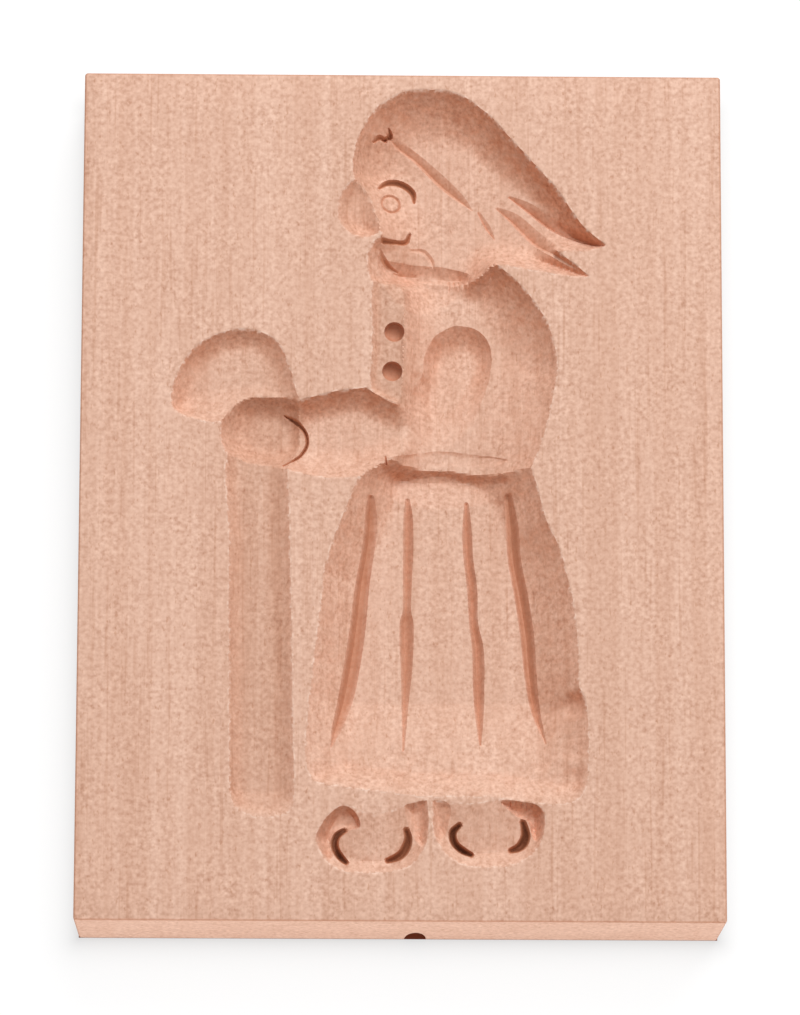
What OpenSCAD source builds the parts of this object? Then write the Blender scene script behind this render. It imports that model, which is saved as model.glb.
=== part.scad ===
// Springerle mould: a block of close-grained wood with the figure of an old countrywoman,
// in a tied headscarf and leaning on a hooked stick, cut hollow into its upper face.
// The block lies on its back. X runs to the figure's back, Y to its head and Z out of the carving.

/* [Block] */
// Width of the block, across the grain
block_w = 100; // [84:1:140]
// Height of the block, along the grain
block_h = 134; // [133:1:180]
// Thickness of the block
block_t = 22; // [14:0.5:40]
// Width of the bevel that eases every edge
arris = 0.6; // [0.2:0.1:1.5]

/* [Peg hole] */
// Diameter of the slanted hole in the lower end
peg_d = 3.4; // [2:0.1:6]
// Depth of the hole along its axis, from the back face
peg_depth = 10; // [5:0.5:13]
// Lean of the hole into the block, in degrees
peg_lean = 12; // [5:1:30]
// Place of the hole, to the right of the middle
peg_x = 2.6; // [-30:0.1:30]

/* [Figure] */
// Height of the figure, from the soles to the top of the scarf
figure_h = 124; // [110:1:124]
// Bare wood between the soles and the lower end
foot_margin = 7.5; // [4:0.5:8.5]
// Shift of the figure to the right of the middle
figure_x = 0; // [-10:0.5:10]
// Straight stop cut round the edge of every hollow
stop_cut = 0.4; // [0.2:0.1:0.8]

/* [Head] */
// Depth of the headscarf and cheek
scarf_depth = 5.5; // [3:0.1:8]
// Depth of the lower tail of the scarf
tail_depth = 3.5; // [2:0.1:6]
// Width of the round nose
nose_d = 8; // [6:0.5:10]
// Depth of the nose
nose_depth = 2.8; // [1.5:0.1:3.8]
// Depth of the chin
chin_depth = 3.6; // [2:0.1:6]
// Depth of the collar under the jaw
collar_depth = 5; // [3:0.1:7]
// Diameter of the eye ring
eye_d = 2.6; // [2:0.1:4]
// Width of the round groove of the eye ring
eye_groove = 0.6; // [0.4:0.1:0.9]
// Width of the brow and mouth lines
face_line_w = 0.9; // [0.5:0.1:1.4]
// Depth of the brow and mouth lines below the face
face_line_depth = 0.7; // [0.3:0.1:1.2]
// Width of the edge and folds of the scarf
fold_w = 1.6; // [0.8:0.1:2.5]
// Depth of the edge and folds below the scarf
fold_depth = 0.9; // [0.4:0.1:1.5]

/* [Dress] */
// Depth of the button strip down the front
placket_depth = 2; // [1:0.1:3]
// Diameter of the buttons
button_d = 3.1; // [2:0.1:4]
// Depth of the buttons below the button strip
button_depth = 2; // [1:0.1:3]
// Distance between the buttons
button_pitch = 6.3; // [5:0.1:8]
// Depth of the bodice
bodice_depth = 4.6; // [3:0.1:7]
// Depth of the upper sleeve below the bodice
sleeve_depth = 1.5; // [0.5:0.1:2.5]
// Depth of the lower sleeve
forearm_depth = 5; // [3:0.1:8]
// Depth of the skirt
skirt_depth = 6; // [4:0.1:8]
// Depth of the waistband below the skirt
waist_depth = 0.8; // [0.3:0.1:1.5]
// Height of the edge of the sleeve and waistband above the floor round them
inner_edge = 1; // [0.5:0.1:1.5]
// Width of the pleats at their widest
pleat_w = 2.2; // [1:0.1:3]
// Depth of the pleats below the skirt
pleat_depth = 1.2; // [0.4:0.1:2]

/* [Hand and stick] */
// Depth of the hand
hand_depth = 5.2; // [3:0.1:7]
// Width of the line round the cuff
cuff_w = 1; // [0.6:0.1:1.6]
// Depth of the line round the cuff below the hand
cuff_depth = 0.8; // [0.4:0.1:1.4]
// Depth of the hooked handle
crook_depth = 4.4; // [2:0.1:5]
// Width of the stick
stick_w = 10; // [6:0.5:11]
// Length of the stick below the hand
stick_len = 58; // [30:1:62]
// Depth of the stick
stick_depth = 4; // [2:0.1:5]

/* [Shoes] */
// Depth of the shoes
shoe_depth = 2.6; // [1.5:0.1:5]
// Width of the curved cuts at their widest
shoe_cut_w = 1.3; // [0.8:0.1:2]
// Depth of the curved cuts below the shoes
shoe_cut_depth = 1.2; // [0.5:0.1:2.5]

/* [Hidden] */
$fn = 64;
wood = "#e4b9a2";

// Steps along and across a hollow, steps along a groove, and the rise of the cutters above the face.
hollow_steps = 16;
hollow_ribs = 6;
groove_steps = 8;
groove_ribs = 2;
lift = 1;

// Floor across a hollow: a V where it is 1, round where it is 2 and flatter where it is more.
vee_floor = 1;
round_floor = 2;
full_floor = 2.5;
flat_floor = 4;

// Shares of the length over which a floor rises at its two ends, and width of a groove at its tips.
groove_ends = [0.3, 0.3];
round_ends = [0.5, 0.5];
open_ends = [0, 0];
tip_share = 0.2;

// The outlines are drawn in millimetres, up from the soles, for a figure that stands this high.
drawn_h = 124;
size = figure_h / drawn_h;

// A line of a groove has points x, y and the share of the hollow's depth that the floor has there.

// Head: crown edge and jaw edge of the scarf, its lower tail, the chin and the collar.
scarf_crown = [[-8, 109.5], [-8, 114], [-6, 119], [-1.5, 123], [4.5, 124], [10.5, 122.5], [16, 117.5],
    [21.5, 111.5], [26, 106], [29, 102], [32, 99]];
scarf_jaw = [[-4, 100.5], [-3.5, 97.5], [-1, 95.5], [3, 95], [7, 94.5], [10.5, 94], [14.5, 95.5],
    [18.5, 96], [23, 97], [27.5, 98], [31.5, 98.5]];
scarf_ends = [0.2, 0.4];
tail_upper = [[15.5, 104], [18.5, 101], [21.5, 99], [25, 97], [27, 95.5], [29.5, 94.1]];
tail_lower = [[15, 95.5], [18.5, 95.5], [21.5, 95], [25, 94.5], [27.5, 94], [29.3, 93.8]];
tail_ends = [0.3, 0.5];
chin_upper = [[-5.5, 97], [-4.5, 99], [-2.5, 100.5], [1, 100], [4.5, 98], [5.5, 96]];
chin_lower = [[-5.5, 95.5], [-5, 93.5], [-3, 92.5], [0, 92.5], [3.5, 93.5], [5.5, 95]];
collar_upper = [[-4, 96.5], [-1, 96], [3, 95.5], [7, 95], [11, 94.5]];
collar_lower = [[-4, 91.5], [-1, 90.5], [3, 90], [7, 90.5], [11, 92.5]];
collar_ends = [0.3, 0.3];
nose_at = [-6.4, 104.9];
eye_at = [-1.8, 105.9];
eye_share = 0.96;
brow = [[-3.8, 108.5, 0.95], [-2.5, 109.7, 0.95], [-0.5, 109.7, 0.95], [1, 108.5, 0.95],
    [1.8, 107, 0.95]];
mouth = [[-3, 100.3, 0.68], [-1, 100.2, 0.69], [0.5, 100.5, 0.7], [1, 101.7, 0.75]];
scarf_edge = [[-3, 116.5, 0.63], [-1, 116, 0.76], [2, 113.5, 0.91], [5, 111, 0.95], [8, 108, 0.96],
    [11, 105.5, 0.94]];
scarf_folds = [[[17.5, 107, 0.94], [21.5, 104, 0.9], [26, 101.5, 0.77], [31, 99.3, 0.26]],
    [[15.5, 103.5, 0.92], [18, 100.5, 0.8], [20, 98.5, 0.6]]];

// Depths of the floor and of the edge of the two pieces that are cut within others.
waist_bottom = skirt_depth + waist_depth;
waist_edge = skirt_depth - inner_edge;
sleeve_bottom = bodice_depth + sleeve_depth;
sleeve_edge = bodice_depth - inner_edge;

// Bodice, button strip and sleeve: back edge, then front edge.
bodice_back = [[14.5, 96], [20, 91], [23, 85], [24.5, 79.5], [23.5, 75], [23, 71], [22, 67], [20, 61]];
bodice_front = [[-0.5, 92], [0.5, 89], [0.5, 84.5], [0.5, 80], [-0.5, 76], [-1.5, 72], [-2.5, 67.5],
    [-3.5, 62.5]];
bodice_ends = [0.3, 0];
placket_back = [[1.5, 93], [1.5, 87.5], [1.5, 81.5], [1.5, 73.5]];
placket_front = [[-4.5, 93], [-4.5, 87.5], [-4.5, 81.5], [-5, 74.5]];
button_at = [-1.4, 85.2];
sleeve_back = [[9, 87], [12.5, 86], [14, 83], [13.5, 79], [12.5, 75], [10, 71], [6, 67.5], [2, 65.5]];
sleeve_front = [[6, 86.5], [4, 84.5], [3, 82], [2.5, 79.5], [0.5, 77], [-0.5, 74.5], [-1, 71],
    [-0.5, 67]];
sleeve_ends = [0.3, 0];

// Lower sleeve and hand: upper edge, then lower edge, and the line round the cuff.
forearm_upper = [[-17.5, 72.5], [-14.5, 74], [-10.5, 75.5], [-5.5, 76], [-3, 74.5], [0, 73], [3, 71],
    [5.5, 68.5]];
forearm_lower = [[-18, 63.5], [-15, 62.5], [-11, 62], [-7, 62], [-3.5, 63.5], [0, 65], [3.5, 66], [6, 67]];
hand_upper = [[-28.5, 68.5], [-28, 71.5], [-26, 73.5], [-22.5, 74], [-19, 73], [-16.5, 71], [-15, 68.7]];
hand_lower = [[-28.2, 67.5], [-27.5, 65.5], [-25, 64], [-22, 63], [-19, 63.5], [-16.5, 64.5], [-15, 67.3]];
cuff = [[-17.5, 71, 0.45], [-16, 70.3, 0.8], [-15, 68.5, 0.94], [-15.5, 66.5, 0.86], [-17.5, 64.5, 0.4]];

// Hooked handle: outer edge, then inner edge, from the free end to the hand.
crook_outer = [[-36, 73], [-36, 76], [-34, 80], [-30.5, 83.5], [-25.5, 85.5], [-21, 84.5],
    [-18.5, 81.5], [-17, 78], [-15.8, 74.5], [-16, 71]];
crook_inner = [[-34.5, 71.5], [-31.5, 70.5], [-29, 70.5], [-27.5, 71], [-25, 71.5], [-23, 72],
    [-21, 72], [-20, 71.8], [-19, 71.2], [-18, 70.5]];
crook_ends = [0.3, 0.1];
stick_top = [-22, 67];
stick_ends = [0, 0.3];
foot_share = 0.4;

// Skirt: back edge, then front edge, with the waistband and the pleats.
skirt_back = [[20.5, 65], [21.2, 58], [24, 51.5], [26, 44], [27.5, 36.5], [27.5, 29], [29, 24],
    [29, 16.5], [27, 11]];
skirt_front = [[-4.5, 65], [-8.5, 57.5], [-11, 51.5], [-12.5, 44], [-13, 36], [-14, 28.5],
    [-14.5, 21.5], [-14.5, 16.5], [-12.5, 13.5]];
skirt_ends = [0, 0.12];
waist_upper = [[-3.5, 63.2], [-0.5, 63.6], [3.5, 63.9], [8.5, 64], [13, 63.4], [16.5, 62]];
waist_lower = [[-3.5, 61.8], [-1, 59.5], [3.5, 58.5], [8.5, 58.5], [13, 59], [16.5, 60.8]];
waist_ends = [0.3, 0.3];
pleats = [[[-4, 60, 0.63], [-5, 52.5, 0.78], [-6.5, 42.5, 0.78], [-8, 31.5, 0.72], [-10.5, 22, 0.54]],
    [[1, 58, 0.97], [1, 46.5, 0.97], [0.5, 33.5, 0.97], [0, 19.5, 0.97]],
    [[10, 58, 0.97], [11, 46.5, 0.97], [12, 33.5, 0.97], [12.5, 20.5, 0.97]],
    [[16, 58.5, 0.8], [18.5, 48.5, 0.8], [20, 35.5, 0.8], [22.5, 21, 0.77]]];

// Shoes: upper edge, then sole, and the two curved cuts in each.
left_shoe_upper = [[-13, 5.5], [-12, 8.5], [-8.5, 10.5], [-5, 9.5], [-1, 10], [2, 11], [4, 11.5]];
left_shoe_sole = [[-13, 4.5], [-11.5, 1.5], [-8.5, 0], [-4.5, 0], [-1, 0], [2, 1], [4, 5]];
right_shoe_upper = [[5, 11.5], [8, 11], [11.5, 10.8], [16, 12.5], [20, 12.8], [22, 10]];
right_shoe_sole = [[5, 7.5], [7, 3], [11, 1], [15.5, 1], [19.5, 2.5], [22.5, 6.5]];
left_shoe_ends = [0.2, 0];
right_shoe_ends = [0, 0.2];
shoe_cuts = [[[-8.5, 7, 0.93], [-10, 6, 0.96], [-10, 3.5, 0.93], [-8.5, 1.5, 0.63]],
    [[1, 7.5, 0.92], [1.5, 5, 0.96], [0, 3, 0.87], [-2, 2.5, 0.84]],
    [[9, 8, 0.92], [8, 6.5, 0.98], [8.5, 4.5, 0.87], [11, 3, 0.75]],
    [[18.5, 9, 0.81], [19.5, 7, 0.98], [19, 4.5, 0.84], [17, 3.5, 0.76]]];

// Place of a drawn point on the face of the block.
function place(p) = [figure_x + p[0] * size, foot_margin - block_h / 2 + p[1] * size];

// Point on the smooth curve through the points p, where s counts along them from 0.
function on_curve(p, s) =
    let (last = len(p) - 1, i = min(floor(s), last - 1), t = s - i)
    let (a = p[max(i - 1, 0)], b = p[i], c = p[i + 1], d = p[min(i + 2, last)])
    b + 0.5 * t * (c - a + t * (2 * a - 5 * b + 4 * c - d + t * (3 * b - a - 3 * c + d)));

// The smooth curve through the points p, in a number of equal steps.
function curve(p, steps) = [for (i = [0 : steps]) on_curve(p, i * (len(p) - 1) / steps)];

// Points on the face of the block.
function on_face(p) = [for (q = p) place(q)];

// Edge of a groove of width w beside its path p, on the side given as 1 or -1. It narrows to both ends.
function beside(p, w, side) =
    let (last = len(p) - 1)
    [for (i = [0 : last])
        let (run = p[min(i + 1, last)] - p[max(i - 1, 0)])
        let (share = tip_share + (1 - tip_share) * sin(180 * i / last))
        p[i] + side * share * w / 2 * [-run[1], run[0]] / norm(run)];

// Fall from 0 to 1 over the given run, as a quarter round.
function fall(u, run) = u >= run ? 1 : sqrt(1 - pow(1 - u / run, 2));

// Two triangles for the corners a, b, c and d of a patch.
function patch(a, b, c, d) = [[a, b, c], [a, c, d]];

// Cutter between the edges a and b, with a on the left of the way from the first step to the last.
// At each step the floor starts at the depth in tops and goes down by cut, in the shape that bowl gives,
// and it rises over the shares of the length in ends.
module gouge(a, b, tops, cut, bowl, ends, ribs) {
    steps = len(a) - 1;
    row = ribs + 1;
    lid = (steps + 1) * row;
    floor_points = [for (i = [0 : steps]) for (j = [0 : ribs])
        let (v = (1 - cos(180 * j / ribs)) / 2, p = a[i] + v * (b[i] - a[i]), u = i / steps)
        let (sink = min(fall(u, ends[0]), fall(1 - u, ends[1])) * (1 - pow(abs(2 * v - 1), bowl)))
        [p[0], p[1], block_t - tops[i] - cut * sink]];
    lid_points = [for (i = [0 : steps]) for (p = [a[i], b[i]]) [p[0], p[1], block_t + lift]];
    floor_faces = [for (i = [0 : steps - 1]) for (j = [0 : ribs - 1])
        let (k = i * row + j) each patch(k, k + 1, k + row + 1, k + row)];
    lid_faces = [for (i = [0 : steps - 1]) let (k = lid + 2 * i) each patch(k, k + 2, k + 3, k + 1)];
    left_faces = [for (i = [0 : steps - 1])
        let (k = i * row, m = lid + 2 * i) each patch(k, k + row, m + 2, m)];
    right_faces = [for (i = [0 : steps - 1])
        let (k = i * row + ribs, m = lid + 2 * i + 1) each patch(k, m, m + 2, k + row)];
    first_face = [lid, lid + 1, for (j = [0 : ribs]) ribs - j];
    last_face = [lid + 2 * steps + 1, lid + 2 * steps, for (j = [0 : ribs]) steps * row + j];
    polyhedron(
        concat(floor_points, lid_points),
        concat(floor_faces, lid_faces, left_faces, right_faces, [first_face, last_face]));
}

// The modules from here to the shoes each cut into the block that stands behind them.

// Hollow between two drawn edges, from the depth top at the edges to the depth bottom.
module hollow(left, right, bottom, bowl, ends, top = stop_cut) {
    a = on_face(curve(left, hollow_steps));
    b = on_face(curve(right, hollow_steps));
    difference() {
        children();
        gouge(a, b, [for (p = a) top], bottom - top, bowl, ends, hollow_ribs);
    }
}

// Round hollow of a given width and depth.
module round_hollow(at, d, depth) {
    r = (d * d / 4 + depth * depth) / (2 * depth);
    difference() {
        children();
        translate([place(at)[0], place(at)[1], block_t + r - depth]) sphere(r);
    }
}

// V-shaped grooves along drawn lines, cut into the floor of a hollow of the given depth.
module grooves(lines, w, cut, depth) {
    difference() {
        children();
        for (line = lines) {
            drawn = curve(line, groove_steps);
            path = on_face(drawn);
            tops = [for (p = drawn) p[2] * depth];
            gouge(beside(path, w, 1), beside(path, w, -1), tops, cut, vee_floor, groove_ends, groove_ribs);
        }
    }
}

module eye_ring() {
    difference() {
        children();
        translate([place(eye_at)[0], place(eye_at)[1], block_t - eye_share * scarf_depth])
            rotate_extrude() translate([eye_d / 2, 0]) circle(d = eye_groove);
    }
}

module head() {
    eye_ring()
    grooves([brow, mouth], face_line_w, face_line_depth, scarf_depth)
    grooves(concat([scarf_edge], scarf_folds), fold_w, fold_depth, scarf_depth)
    round_hollow(nose_at, nose_d, nose_depth)
    hollow(collar_upper, collar_lower, collar_depth, round_floor, collar_ends)
    hollow(chin_upper, chin_lower, chin_depth, round_floor, round_ends)
    hollow(tail_upper, tail_lower, tail_depth, round_floor, tail_ends)
    hollow(scarf_crown, scarf_jaw, scarf_depth, full_floor, scarf_ends)
    children();
}

module buttons() {
    at = place(button_at);
    difference() {
        children();
        for (i = [0, 1])
            translate([at[0], at[1] - i * button_pitch, block_t - placket_depth - button_depth])
                cylinder(d = button_d, h = placket_depth + button_depth + lift);
    }
}

module dress() {
    grooves(pleats, pleat_w, pleat_depth, skirt_depth)
    hollow(waist_upper, waist_lower, waist_bottom, round_floor, waist_ends, waist_edge)
    hollow(skirt_back, skirt_front, skirt_depth, flat_floor, skirt_ends)
    hollow(forearm_upper, forearm_lower, forearm_depth, round_floor, open_ends)
    hollow(sleeve_back, sleeve_front, sleeve_bottom, round_floor, sleeve_ends, sleeve_edge)
    buttons()
    hollow(placket_back, placket_front, placket_depth, flat_floor, open_ends)
    hollow(bodice_back, bodice_front, bodice_depth, full_floor, bodice_ends)
    children();
}

module hand_and_crook() {
    grooves([cuff], cuff_w, cuff_depth, hand_depth)
    hollow(hand_upper, hand_lower, hand_depth, round_floor, round_ends)
    hollow(crook_outer, crook_inner, crook_depth, round_floor, crook_ends)
    children();
}

// The stick is a straight channel with a rounded foot, and its steps lie closer towards the foot.
module stick() {
    top = place(stick_top);
    way = [for (i = [0 : hollow_steps]) stick_len * sin(90 * i / hollow_steps)];
    half = [for (s = way) stick_w / 2 * max(fall(stick_len - s, stick_w / 2), foot_share)];
    a = [for (i = [0 : hollow_steps]) top + [half[i], -way[i]]];
    b = [for (i = [0 : hollow_steps]) top - [half[i], way[i]]];
    difference() {
        children();
        gouge(a, b, [for (p = a) stop_cut], stick_depth - stop_cut, full_floor, stick_ends, hollow_ribs);
    }
}

module shoes() {
    grooves(shoe_cuts, shoe_cut_w, shoe_cut_depth, shoe_depth)
    hollow(left_shoe_upper, left_shoe_sole, shoe_depth, full_floor, left_shoe_ends)
    hollow(right_shoe_upper, right_shoe_sole, shoe_depth, full_floor, right_shoe_ends)
    children();
}

module peg_hole() {
    difference() {
        children();
        translate([peg_x, -block_h / 2, 0]) rotate([-peg_lean, 0, 0]) translate([0, 0, -peg_d])
            cylinder(d = peg_d, h = peg_d + peg_depth);
    }
}

// Bar of rectangular section with its long edges eased.
module eased_bar(x, y, length) {
    linear_extrude(length, center = true)
        polygon([
            [x / 2, y / 2 - arris], [x / 2 - arris, y / 2], [arris - x / 2, y / 2], [-x / 2, y / 2 - arris],
            [-x / 2, arris - y / 2], [arris - x / 2, -y / 2], [x / 2 - arris, -y / 2], [x / 2, arris - y / 2]
        ]);
}

module eased_block() {
    translate([0, 0, block_t / 2]) intersection() {
        eased_bar(block_w, block_h, block_t);
        rotate([90, 0, 0]) eased_bar(block_w, block_t, block_h);
        rotate([0, 90, 0]) eased_bar(block_t, block_h, block_w);
    }
}

module mould_block() {
    color(wood) shoes() stick() hand_and_crook() dress() head() peg_hole() eased_block();
}

mould_block();
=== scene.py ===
"""Springerle mould: a block of bare hardwood with an old countrywoman carved hollow into its face.

The block lies on its back in the frame of the solid model. Sizes and outlines are in millimetres, and meshes
in metres. The figure is drawn with x from the middle of the block and y up from the soles of its shoes.
"""

import logging
import math
from collections.abc import Iterator
from dataclasses import dataclass, field
from enum import Enum

import bmesh
import bpy
import numpy as np
from mathutils import Matrix, Vector
from mathutils.geometry import delaunay_2d_cdt


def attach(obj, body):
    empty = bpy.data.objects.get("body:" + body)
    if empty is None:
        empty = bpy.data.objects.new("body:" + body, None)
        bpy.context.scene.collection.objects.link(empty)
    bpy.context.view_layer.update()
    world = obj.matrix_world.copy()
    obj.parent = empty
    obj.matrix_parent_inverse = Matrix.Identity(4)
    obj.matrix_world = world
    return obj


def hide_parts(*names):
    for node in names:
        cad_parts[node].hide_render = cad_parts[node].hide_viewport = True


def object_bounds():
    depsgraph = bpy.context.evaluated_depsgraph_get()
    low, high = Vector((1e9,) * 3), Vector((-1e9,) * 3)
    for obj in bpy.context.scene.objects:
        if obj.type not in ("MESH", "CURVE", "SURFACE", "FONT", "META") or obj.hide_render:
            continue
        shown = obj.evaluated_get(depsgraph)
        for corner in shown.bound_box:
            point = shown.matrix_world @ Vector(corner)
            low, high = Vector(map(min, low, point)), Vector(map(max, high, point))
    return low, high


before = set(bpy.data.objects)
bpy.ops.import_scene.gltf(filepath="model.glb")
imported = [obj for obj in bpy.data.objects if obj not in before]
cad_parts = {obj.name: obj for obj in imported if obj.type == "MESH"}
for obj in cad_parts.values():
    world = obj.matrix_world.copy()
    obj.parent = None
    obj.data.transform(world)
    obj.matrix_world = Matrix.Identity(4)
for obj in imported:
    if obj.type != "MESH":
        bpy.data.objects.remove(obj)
CAD_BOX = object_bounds()

LOG = logging.getLogger("springerle_mould")
Spot = tuple[float, float]
Triple = tuple[float, float, float]
Socket = bpy.types.NodeSocket
Feeds = dict[str | int, object]

MM = 0.001  # Metres in a millimetre.
SIZE = [round((high - low) / MM, 3) for low, high in zip(*CAD_BOX)]  # Size of the solid model.
SOLE_Y = -59.5  # Place of the soles along the block.
CHUNK = 4096  # Points measured at a time.
HAND = 0.05  # Reach of the tremor of the carver's hand.
TINY = 1e-12  # Keeps a division by nothing from failing.
CUT = 1e-6  # Least depth that counts as cut.
RIM_STEP = 0.5  # Distances between the samples of a rim, of a groove and of a line that the mesh follows.
PATH_STEP = 0.4
LINE_STEP = 0.3
LEAST_WALL = 0.2  # Least width of a wall and least half width of a groove.
LEAST_HALF = 0.02
LAYERS = ("Streaks", "Lines", "Flecks", "Pores")  # Layers of the grain's colour.
# Painted shade in the narrow cuts and darker eased edges, painted shade in the corners, the tone of the
# hollows, and pale rims that are partly a painted highlight.
MARKS = ("stain_and_shade", "corner", "tone", "burr_and_highlight")  # Attributes of the points of the block.


class Cut(Enum):
    """How a hollow meets the wood that is already cut away."""

    REACH = "down to its own depth below the face"
    SINK = "below the floor that is there"


class Grain(Enum):
    """The kinds of wood surface on the block, in the order of its material slots."""

    PLANED = 0
    CARVED = 1
    END = 2
    DRILLED = 3


def put(name: str, data: bpy.types.ID) -> bpy.types.Object:
    """Put data into the scene.

    Args:
        name: Name of the object.
        data: Its mesh, lamp or camera.

    Returns:
        The new object.
    """
    made = bpy.data.objects.new(name, data)
    bpy.context.scene.collection.objects.link(made)
    return made


# Curves and distances on the face.


def chunks(count: int) -> Iterator[slice]:
    """Split a count of points into slices that can be measured at once."""
    return (slice(k, k + CHUNK) for k in range(0, count, CHUNK))


def smooth_spans(points: np.ndarray, step: float) -> np.ndarray:
    """Sample the smooth curve between the inner points of a row.

    Args:
        points: Rows of x, y and any further values to carry along. The first and last only steer the curve.
        step: Distance between samples, about.

    Returns:
        The samples, from the second point up to but not including the last but one.
    """
    rows = []
    for a, b, c, d in zip(points, points[1:], points[2:], points[3:]):
        count = max(1, round(float(np.linalg.norm((c - b)[:2])) / step))
        t = (np.arange(count) / count)[:, None]
        rows.append(b + 0.5 * t * (c - a + t * (2 * a - 5 * b + 4 * c - d + t * (3 * b - a - 3 * c + d))))
    return np.vstack(rows)


def smooth_run(points: np.ndarray, step: float) -> np.ndarray:
    """Sample an open smooth curve through points, without the last one."""
    return smooth_spans(np.vstack([2 * points[0] - points[1], points, 2 * points[-1] - points[-2]]), step)


def smooth_loop(points: np.ndarray, step: float, corners: tuple[int, ...]) -> np.ndarray:
    """Sample a closed curve through points that is smooth except at its corners.

    Args:
        points: Rows of x, y and any further values to carry along.
        step: Distance between samples, about.
        corners: Indices of the points where the curve has a corner.

    Returns:
        The samples once round.
    """
    if not corners:
        return smooth_spans(np.vstack([points[-1:], points, points[:2]]), step)
    runs = []
    for first, last in zip(corners, corners[1:] + (corners[0] + len(points),)):
        runs.append(smooth_run(np.take(points, range(first, last + 1), axis=0, mode="wrap"), step))
    return np.vstack(runs)


def circle(centre: Spot, radius: float, count: int) -> np.ndarray:
    """Give points evenly round a circle."""
    turn = np.arange(count) / count * 2 * math.pi
    return np.array(centre) + radius * np.stack([np.cos(turn), np.sin(turn)], 1)


def inside(xy: np.ndarray, loop: np.ndarray) -> np.ndarray:
    """Tell which points lie inside a closed outline.

    Args:
        xy: Points to test.
        loop: Samples of the outline, once round.

    Returns:
        True for each point inside.
    """
    a, b = loop[:, :2], np.roll(loop[:, :2], -1, axis=0)
    rise = np.where(b[:, 1] == a[:, 1], 1.0, b[:, 1] - a[:, 1])
    found = np.zeros(len(xy), bool)
    for some in chunks(len(xy)):
        x, y = xy[some, 0, None], xy[some, 1, None]
        spans = (a[:, 1] > y) != (b[:, 1] > y)
        crossing = a[:, 0] + (y - a[:, 1]) / rise * (b[:, 0] - a[:, 0])
        found[some] = (spans & (x < crossing)).sum(1) % 2 == 1
    return found


def near_segments(xy: np.ndarray, a: np.ndarray, b: np.ndarray) -> tuple[np.ndarray, np.ndarray]:
    """Measure points against line segments.

    Args:
        xy: Points to measure.
        a: First ends of the segments.
        b: Last ends of the segments.

    Returns:
        Distance of each point from each segment, and the share of the segment at its foot.
    """
    run = (b - a)[:, :2]
    rel = xy[:, None, :] - a[None, :, :2]
    t = np.clip((rel * run).sum(2) / np.maximum((run * run).sum(1), TINY), 0, 1)
    return np.linalg.norm(rel - t[:, :, None] * run, axis=2), t


def tremor(xy: np.ndarray) -> np.ndarray:
    """Give how far the carver's hand strays at points of the face, as slow waves with quicker ones on them.

    Args:
        xy: Points of the face.

    Returns:
        A small shift along x and y for each point.
    """
    x, y = xy.T
    along = np.sin(0.9 * y + np.sin(0.5 * x)) + 0.6 * np.sin(2.3 * y + 0.7 * x)
    upward = np.sin(0.8 * x + np.sin(0.6 * y) + 2.0) + 0.6 * np.sin(2.1 * x - 0.9 * y)
    return HAND * np.column_stack([along, upward])


# The cuts that make the figure.


@dataclass(frozen=True)
class Hollow:
    """One gouge-cut hollow of the figure.

    Attributes:
        name: What the hollow prints.
        rim: Points of its edge, each with the width of the wall that falls away from it.
        depth: Depth of its floor.
        bowl: Shape of the wall: 1 is a straight slope, and more is steeper at the edge.
        corners: Indices of the points of the rim that are corners.
        tilt: Slope of the floor along x and y, about the middle of the rim.
        cut: How it meets what is already cut.
        fade: Heights at which the cut is whole and at which it has run out, or None.
        blend: How softly the ridge between it and the hollows before it is rounded over.
        tone: How much darker its cut wood is, from 0 to 1.
    """

    name: str
    rim: tuple[Triple, ...]
    depth: float
    bowl: float = 2.0
    corners: tuple[int, ...] = ()
    tilt: Spot = (0.0, 0.0)
    cut: Cut = Cut.REACH
    fade: Spot | None = None
    blend: float = 0.15
    tone: float = 0.0

    def edge(self, step: float) -> np.ndarray:
        """Sample the rim with its wall widths, a step apart, as an unsteady hand cuts it."""
        loop = smooth_loop(np.array(self.rim), step, self.corners)
        return loop + np.pad(tremor(loop[:, :2]), ((0, 0), (0, 1)))

    def fall(self, xy: np.ndarray) -> np.ndarray:
        """Depth of the hollow at points of the face.

        Args:
            xy: Points of the face.

        Returns:
            The depth at each, 0 outside the rim.
        """
        loop = self.edge(RIM_STEP)
        after = np.roll(loop, -1, axis=0)
        low, high = loop[:, :2].min(0), loop[:, :2].max(0)
        middle = loop[:, :2].mean(0)
        picked = np.flatnonzero(((xy >= low) & (xy <= high)).all(1))
        picked = picked[inside(xy[picked], loop)]
        result = np.zeros(len(xy))
        for part in chunks(len(picked)):
            some = picked[part]
            away, t = near_segments(xy[some], loop, after)
            wall = loop[:, 2] + t * (after[:, 2] - loop[:, 2])
            share = np.clip(away / np.maximum(wall, LEAST_WALL), 0, 1).min(1)
            floor = self.depth + (xy[some] - middle) @ np.array(self.tilt)
            if self.fade:
                whole, gone = self.fade
                floor = floor * np.clip((xy[some, 1] - gone) / (whole - gone), 0, 1)
            result[some] = floor * (1 - (1 - share) ** self.bowl)
        return result


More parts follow.
